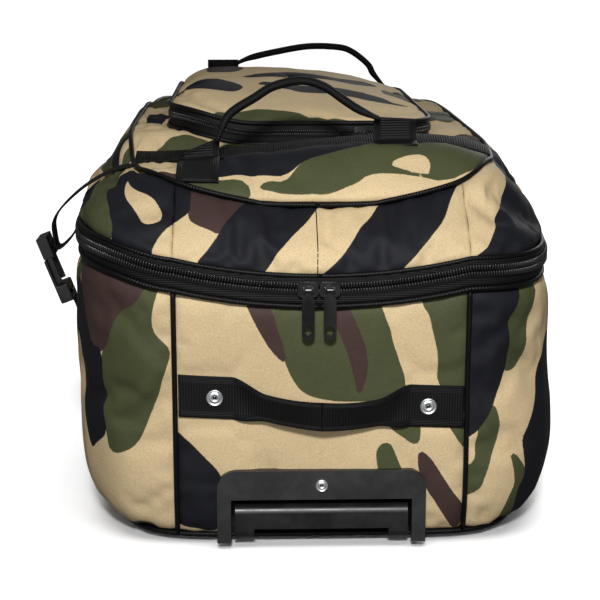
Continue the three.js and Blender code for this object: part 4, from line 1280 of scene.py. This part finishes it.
def main_zip_half(name, rings, edge_ring, edge_z, radius, coil_z, tip, body, node):
    count = ZIP_POINTS
    lines = [loop_frame(grown(ZIP_RING, out), sagging(z), count)[0] for out, z in rings]
    tape = tape_band(f"{name}_tape", lines, WEBBING)
    edge = loop_frame(grown(ZIP_RING, edge_ring), sagging(edge_z), count)[0]
    coil = loop_frame(grown(ZIP_RING, 2.4), sagging(coil_z), count)
    zip_half(name, tape, (edge, radius), (*coil, MAIN_PITCH, MAIN_TOOTH, tip, MAIN_HINGE_Y), body, node)


def build_main_zip():
    lower = [
        (-1.6, LOWER_TOP + 1.6),
        (0.6, ZIP_Z - 12),
        (1.4, ZIP_Z - 9),
        (0.8, ZIP_Z - 5.6),
        (1.0, ZIP_Z - 1),
    ]
    main_zip_half("main_zip_lower", lower, -0.4, LOWER_TOP + 1.2, 2.4, ZIP_Z - 2.8, 1, "bag",
                  "zip_tape_lower")
    upper = [(1.0, ZIP_Z + 1), (0.8, ZIP_Z + 5.4), (1.2, ZIP_Z + 7.4), (-0.8, ZIP_Z + 9.8)]
    main_zip_half("main_zip_upper", upper, -0.6, ZIP_Z + 10.2, 2.1, ZIP_Z + 2.8, -1, "upper_half",
                  "zip_tape_upper")


def flap_line(inset, height):
    """Points round the flap with their outward direction."""
    p = flap_outline(inset, FLAP_ZIP_POINTS)
    path = settled(np.column_stack([p, height(p[:, 0], p[:, 1])]))
    t = tangents(p, True)
    return path, np.column_stack([-t[:, 1], t[:, 0], np.zeros(len(p))])


def half_up_rim(x, y):
    return lerp(top_height(x, y) - 1.5, FLAP_COIL_Z, 0.45)


def flap_zip_half(name, rows, edge, coil_z, tip, body, *nodes):
    lines = [flap_line(inset, height)[0] for inset, height in rows]
    tape = tape_band(f"{name}_tape", lines, TAPE, (FLAP_X, 0, 335))
    coil = flap_line(-1.4, level(coil_z))
    zip_half(name, tape, edge, (*coil, FLAP_PITCH, FLAP_TOOTH, tip, FLAP_HINGE_Y), body, *nodes)


def build_flap_zip():
    rim = [
        (-1.0, over_top(-1.5)),
        (0.2, half_up_rim),
        (-0.4, level(FLAP_COIL_Z - 3.4)),
        (-0.6, level(FLAP_COIL_Z - 0.9)),
    ]
    foot = (flap_line(-2.2, over_top(1.0))[0], 2.0)
    flap_zip_half("flap_zip_lower", rim, foot, FLAP_COIL_Z - 1.5, 1, "upper_half", "flap_rim")
    skirt = [
        (-0.6, level(FLAP_COIL_Z + 0.9)),
        (-0.4, level(FLAP_COIL_Z + 3.4)),
        (0.3, level(FLAP_EDGE_Z - 2.0)),
        (0.8, level(FLAP_EDGE_Z - 0.4)),
    ]
    edge = (flap_line(0.3, level(FLAP_EDGE_Z - 0.2))[0], 2.3)
    flap_zip_half("flap_zip_upper", skirt, edge, FLAP_COIL_Z + 1.5, -1, "flap")


def corner_seam(side, end):
    """The upright seam of the lower box at one side (-1 or 1) and one end (-1 is the front)."""
    line = []
    for z in np.linspace(7, LOWER_TOP, 40):
        ring = lower_ring(max(z, 8))
        x, y = outline(ring, angle_at(ring, side * PANEL_SEAM, end))
        line.append((x, y + end * 0.6, z - float(zip_sag(x, y)) * float(smooth(90, LOWER_TOP, z))))
    return cord_tube("upright", settled(line), 2.3)


def build_piping(front_gusset):
    cords = [corner_seam(side, end) for end in (-1, 1) for side in (-1, 1)]
    hem = loop_frame((186.5, 394.5, 388.5, 6.5), level(7.2), 420)[0]
    cords.append(cord_tube("hem", hem, 2.4, True))
    place(joined("lower_piping", cords), "bag", "zip")

    top = loop_frame(grown(TOP_SEAM, 0.2), over_top(0.6), PIPING_POINTS)[0]
    seam = front_gusset[:, np.abs(front_gusset[0, :, 0] + 3).argmin()]
    cords = [cord_tube("top_cord", top, 2.3, True)]
    cords.append(cord_tube("seam", seam[1:-1] + np.array([0, 0.1, 0]), 0.5))
    place(joined("upper_piping", cords), "upper_half", "zip")


# ---------- webbing ----------
def strap_along(name, path, side, width, thickness, widths=None):
    path = np.asarray(path, float)
    t = tangents(path)
    side = np.broadcast_to(np.asarray(side, float), path.shape)
    side = unit(side - t * np.sum(side * t, -1, keepdims=True))
    up = unit(np.cross(t, side))
    return sweep(name, path, side, up, band(width, thickness), WEBBING, widths=widths)


def front_face(x, z):
    ring = lower_ring(z)
    return outline(ring, angle_at(ring, x, -1))[1]


def haul_point(x, v):
    """A point of the haul strap, v from -1 at its lower edge to 1 at its upper one. Between the rivets it
    hangs free of the bag, narrowed and rolled to be held."""
    free = max(0.0, 1 - (x / HAUL_FREE) ** 2)
    narrow = float(smooth(74, 46, abs(x)))
    half = 18.6 - 5.4 * narrow
    roll = -2.2 * v * narrow - 2.5 * v * math.sin(min(1.0, abs(x) / HAUL_FREE) * math.pi) * narrow
    y = front_face(x, HAUL_TOP) - 1.9 - 17 * free**0.8 + roll
    return (x, y, HAUL_TOP - 19 + v * half - 8.5 * free**1.3 - 0.05 * x)


def build_haul_strap():
    across = np.linspace(-1, 1, 13)
    edge = np.abs(across)[:, None] > 0.99
    for side, sign in (("left", -1), ("right", 1)):
        xs = np.concatenate([np.linspace(0, 74, 34), np.linspace(76, 122, 20)]) * sign
        grid = np.array([[haul_point(x, v) for x in xs] for v in across])
        pinch = np.exp(-(((np.abs(xs) - 66) / 9) ** 2))[None] * (1 - across[:, None] ** 2)
        ripple = 0.5 * noise(grid, 20, 5) + 3.0 * pinch
        grid[..., 1] += ripple - 0.25
        back = grid.copy()
        back[..., 1] += np.where(edge, 0.7, 2.2)
        grid[..., 1] += np.where(edge, 0.5, 0.0)
        flat = np.stack([grid[..., 0], np.repeat(across[:, None] * 19, len(xs), 1)], -1)
        obj = slab(f"haul_webbing_{side}", grid, back, flat, WEBBING)
        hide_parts(f"haul_tab_{side}", *(["haul_strap"] if sign < 0 else []))
        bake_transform(obj)
        x, y, z = haul_point(sign * HAUL_RIVET, 0.0)
        cap = rivet_cap(f"haul_rivet_cap_{side}", (x, y - 0.4, z), 7.2)
        place(cap, "bag", "steel", f"haul_rivet_{side}")


def rivet_cap(name, seat, radius):
    """A domed cap with a rolled rim and a dimpled centre, facing the front. The centre is painted black as
    painted shade for the hole in it.
    """
    profile = [
        (0.0, 1.3), (0.16, 1.25), (0.2, 0.9), (0.24, 0.9), (0.3, 1.75), (0.5, 1.95), (0.62, 1.7), (0.7, 1.2),
        (0.76, 1.15), (0.84, 1.7), (0.92, 1.85), (0.99, 1.4), (1.0, 0.6), (0.97, -0.4),
    ]
    sides, dimple_rings = 32, 3
    points = []
    for share, rise in profile:
        for k in range(sides):
            a = 2 * math.pi * k / sides
            r = max(share, 0.01) * radius
            points.append((seat[0] + r * math.cos(a), seat[1] - rise, seat[2] + r * math.sin(a)))
    faces = ring_faces(len(profile), sides)
    # The centre rings and the front cap take the black plastic: painted shade where the rivet's hole is.
    hole_shade = [1 if k < dimple_rings * sides else 0 for k in range(len(faces))] + [1, 0]
    faces.append(tuple(range(sides)))
    faces.append(tuple(range(len(points) - sides, len(points)))[::-1])
    return make(name, points, faces, [STEEL, PULL], np.array(points)[:, ::2], hole_shade)


# Each handle is a rolled strap between two flat patches. A patch is (left x, right x, toe y, height of
# its upper edge at the left and at the right).
HANDLES = {
    "front": {
        "y": -281.0,
        "patches": {"left": (-125, -87, -344, 324, 341), "right": (52, 90, -300, 359, 357)},
        "arch": [
            (-89, 339), (-85, 349), (-77, 363), (-55, 377), (-38, 387), (-14, 392), (6, 387), (24, 375),
            (38, 366), (56, 358),
        ],
    },
    "rear": {
        "y": 285.0,
        "patches": {"left": (-112, -74, 322, 373, 373), "right": (94, 132, 322, 342, 330)},
        "arch": [
            (-75, 369), (-60, 375), (-30, 382), (12, 389), (50, 388), (68, 382), (87, 367), (94, 355),
            (108, 339),
        ],
    },
}


def handle_patch(name, y0, patch):
    """Webbing that lies on the top panel from its toe to the fold, then stands up to meet the handle."""
    x0, x1, toe, left_top, right_top = patch
    count = 15
    xs = np.linspace(x0, x1, count)
    rows = []
    for t in np.linspace(0, 1, 16):
        y = lerp(toe, y0, t)
        row = np.column_stack([xs, np.full(count, y), top_height(xs, y) + 3.4 + 1.2 * t])
        rows.append(settled(row))
    fold = rows[-1]
    for t in np.linspace(0.1, 1, 9):
        row = fold.copy()
        row[:, 2] = lerp(fold[:, 2], np.linspace(left_top, right_top, count), t)
        row[:, 1] = y0 + 1.2 * math.sin(t * 3)
        rows.append(row)
    grid = np.array(rows)
    forward = -1.0 if y0 < 0 else 1.0
    normal = grid_normals(grid, False, (fold[count // 2, 0], y0 - forward * 60, 250))
    inner = grid - normal * 2.2
    steps = np.linalg.norm(np.diff(grid, axis=0), axis=-1)
    run = np.concatenate([np.zeros((1, count)), np.cumsum(steps, 0)])
    flat = np.stack([run, np.repeat((xs - x0 - 19)[None], len(rows), 0)], -1)
    return slab(name, grid, inner, flat, WEBBING)


def build_handles():
    for name, handle in HANDLES.items():
        y0 = handle["y"]
        for side, patch in handle["patches"].items():
            obj = handle_patch(f"{name}_handle_patch_{side}", y0, patch)
            place(obj, "upper_half", "webbing", f"{name}_tab_{side}")
        count = 110
        arch = through(handle["arch"], count)
        path = np.column_stack([arch[:, 0], np.full(count, y0), arch[:, 1]])
        middle = np.sin(np.linspace(0, 1, count) * math.pi)
        wide, thick = lerp(1.15, 0.92, smooth(0, 0.5, middle)), lerp(0.55, 1.0, smooth(0, 0.4, middle))
        spread = np.column_stack([wide, thick])
        strap = strap_along(f"{name}_handle_grip", path, (0, 1, 0), 16, 7.5, spread)
        place(strap, f"{name}_carry", "webbing", f"{name}_handle")


def hanging_strap(name, points, count, y=STRAP_Y):
    """A strap of the compression webbing through points given as (x, z)."""
    line = through(points, count)
    path = np.column_stack([line[:, 0], np.full(count, y), line[:, 1]])
    return strap_along(name, path, (0, 1, 0), STRAP_WIDTH, STRAP_THICKNESS)


def build_straps():
    xs = np.linspace(-172, 172, 90)
    path = settled(np.column_stack([xs, np.full(90, STRAP_Y), top_height(xs, STRAP_Y) + 5.5]))
    strap = strap_along("compression_webbing", path, (0, 0.97, 0.24), STRAP_WIDTH, STRAP_THICKNESS)
    place(strap, "upper_half", "webbing", "compression_strap")
    hang = [(-162, 315), (-176, 312), (-190, 307), (-212, 294), (-232, 276), (-240.5, 262), (-240, 248)]
    hang.append((-238, 236))
    tail = [(-240.5, 243), (-236, 238), (-229, 243), (-223, 250), (-219.5, 256)]
    anchor = [(-227.5, 189.5), (-224.5, 191.5), (-221.5, 186), (-218.4, 176), (-216.8, 164), (-216.2, 150)]
    strap = hanging_strap("buckle_webbing", hang, 60)
    obj = joined("buckle_webbing", [strap, hanging_strap("loose_tail", tail, 30, STRAP_Y - 2)])
    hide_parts("strap_tail")
    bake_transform(obj)
    place(hanging_strap("anchor_webbing", anchor, 40), "bag", "webbing", "buckle_anchor")
    male = refined("buckle_male", "buckle_prongs", 1.2, BUCKLE, 3)
    place(male, "strap_end", "black_plastic", "buckle_male")
    female = refined("buckle_female", "buckle_body", 1.4, BUCKLE, 3)
    place(female, "buckle_socket", "black_plastic", "buckle_female")


# ---------- mouldings ----------
def moulding(node, name, rounding, material, segments, body, slot):
    """Builds and places a rounded copy of a CAD node."""
    obj = refined(node, name, rounding, material, segments)
    place(obj, body, slot, node)
    return obj


def build_mouldings():
    moulding("trolley_bezel", "bezel_moulding", 2.2, PLASTIC, 3, "bag", "black_plastic")
    moulding("trolley_tub", "tub_moulding", 1.2, PLASTIC, 3, "bag", "black_plastic")
    moulding("trolley_grip", "grip_moulding", 1.8, GRIP, 3, "trolley_stage_2", "black_plastic")
    moulding("base_plate", "base_moulding", 1.0, PLASTIC, 3, "bag", "black_plastic")
    moulding("tube_rear_bracket", "bracket_moulding", 1.0, PLASTIC, 3, "bag", "black_plastic")
    moulding("tube_cover", "tube_cover_cloth", 6.0, LINING, 4, "bag", "black_fabric")
    for side in ("left", "right"):
        housing, tyre, hub = f"wheel_housing_{side}", f"wheel_tyre_{side}", f"wheel_hub_{side}"
        moulding(housing, f"{housing}_moulding", 1.6, PLASTIC, 2, "bag", "black_plastic")
        moulding(tyre, f"{tyre}_moulding", 1.4, TYRE, 2, f"{side}_wheel", "tyre_rubber")
        moulding(hub, f"{hub}_moulding", 0.9, HUB, 2, f"{side}_wheel", "black_plastic")
        slider, pull = f"slider_{side}", f"pull_{side}"
        moulding(slider, f"{slider}_casting", 0.9, PULL, 3, f"main_{slider}", "zip")
        widen_hole(moulding(pull, f"{pull}_casting", 0.5, PULL, 3, f"main_{pull}", "zip"))
    moulding("flap_slider", "flap_slider_casting", 0.7, PULL, 3, "flap_zip_slider", "zip")
    moulding("flap_pull", "flap_pull_casting", 0.5, PULL, 3, "flap_zip_pull", "zip")
    place(rivet_cap("bezel_rivet_cap", (0, -411.2, 57), 5.4), "bag", "steel", "bezel_rivet")
    for node in ("axle_left", "axle_right", "wheel_bearing_left", "wheel_bearing_right"):
        repaint(node, STEEL)
    for stage in ("outer", "mid", "inner"):
        for side in ("left", "right"):
            repaint(f"tube_{stage}_{side}", TUBE)
    repaint("floor_board", BOARD)


def widen_hole(pull):
    """Opens the finger hole of a zip pull to the thin ring that is left round it."""
    points = np.array([v.co for v in pull.data.vertices])
    middle = (points[:, 0].min() + points[:, 0].max()) / 2
    foot = points[:, 2].min() + 8.0 * MM
    hole, ring = 3.4 * MM, 4.4 * MM
    for vertex in pull.data.vertices:
        dx, dz = vertex.co.x - middle, vertex.co.z - foot
        reach = math.hypot(dx, dz)
        if reach < ring:
            grow = lerp(1.22, 1.0, float(smooth(hole, ring, reach)))
            vertex.co.x, vertex.co.z = middle + dx * grow, foot + dz * grow


def repaint(node, material):
    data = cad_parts[node].data
    data.materials.clear()
    data.materials.append(material)


def flat_sheet(name, ring, z, thickness, sag):
    """A lining sheet that fills an outline, sagging in the middle."""
    rim = loop_frame(ring, level(z), 160)[0]
    rows = []
    for share in np.linspace(1, 0.03, 16):
        row = rim.copy()
        row[:, :2] *= share
        row[:, 2] = lerp(z, rim[:, 2], share**2) - sag * (1 - share**2) + 0.6 * noise(row, 45, 9)
        rows.append(row)
    grid = np.array(rows)
    inner = grid - np.array([0, 0, thickness])
    return slab(name, grid, inner, grid[..., :2], LINING, wrapped=True, capped=True)


def build_lining():
    base = flat_sheet("base_cloth", (182.0, 390.0, 384.0, 6.5), 7.0, 2.4, 0.0)
    place(base, "bag", "black_fabric", "base_panel")
    divider = flat_sheet("divider_cloth", (208.0, 402.0, 391.0, 6.5), 250.0, 1.4, 3.0)
    place(divider, "upper_half", "black_fabric", "divider_panel")


panel_grids = build_panels()
build_main_zip()
build_flap_zip()
build_piping(panel_grids["front_gusset"])
build_haul_strap()
build_handles()
build_straps()
build_mouldings()
build_lining()


# ---------- stage ----------
def build_floor():
    mesh = bpy.data.meshes.new("floor")
    mesh.from_pydata([(-9, -9, 0), (9, -9, 0), (9, 9, 0), (-9, 9, 0)], [], [(0, 1, 2, 3)])
    mesh.materials.append(new_material("floor_white", 0.9, (0.9, 0.9, 0.9), specular=0.1)[0])
    floor = linked("floor", mesh)
    floor.location.z = -0.0005
    floor.visible_diffuse = False
    floor.visible_glossy = False
    return floor


def build_world():
    """A dim, even room for the bag that the camera sees as plain white."""
    world = bpy.data.worlds.new("studio")
    bpy.context.scene.world = world
    world.use_nodes = True
    tree = world.node_tree
    seen = add(tree, "ShaderNodeLightPath").outputs["Is Camera Ray"]
    background = tree.nodes["Background"]
    background.inputs["Color"].default_value = (1, 1, 1, 1)
    tree.links.new(ramp(tree, seen, 0.0, 1.0, (ROOM_LIGHT, 1.25)), background.inputs["Strength"])


def add_light(kind, name, where, energy, aim=(0.0, -0.2, 0.2)):
    light = bpy.data.lights.new(name, kind)
    light.energy = energy
    lamp = linked(name, light)
    lamp.location = where
    dx, dy, dz = np.array(aim) - np.array(where)
    lamp.rotation_euler = (math.atan2(math.hypot(dx, dy), -dz), 0, math.atan2(-dx, dy))
    return lamp


def build_stage():
    floor = build_floor()
    build_world()
    key = add_light("SPOT", "key", (-0.1, -2.2, 1.42), 215, (0.0, -0.41, 0.27)).data
    key.spot_size = math.radians(23)
    key.spot_blend = 1.0
    key.shadow_soft_size = 0.16
    add_light("AREA", "front_fill", (-0.1, -2.6, 0.6), 9).data.size = 0.9
    add_light("AREA", "back_fill", (1.2, 2.6, 1.3), 18).data.size = 1.6
    # The floor has a light of its own, so that it stays white beside the darker bag.
    sky = add_light("SUN", "floor_light", (0, 0, 3), 3.4, (0, 0.2, 0))
    sky.data.angle = 0.9
    only_floor = bpy.data.collections.new("floor_only")
    only_floor.objects.link(floor)
    sky.light_linking.receiver_collection = only_floor


def build_camera():
    camera = bpy.data.cameras.new("camera")
    camera.sensor_width = 36
    camera.lens = 94.8
    camera.clip_end = 50
    obj = linked("camera", camera)
    obj.location = (-0.058, -1.70, 0.505)
    obj.rotation_euler = (math.pi / 2 - 0.2175, 0, -0.0305)
    bpy.context.scene.camera = obj


build_stage()
build_camera()
bpy.context.scene.view_settings.view_transform = "Standard"
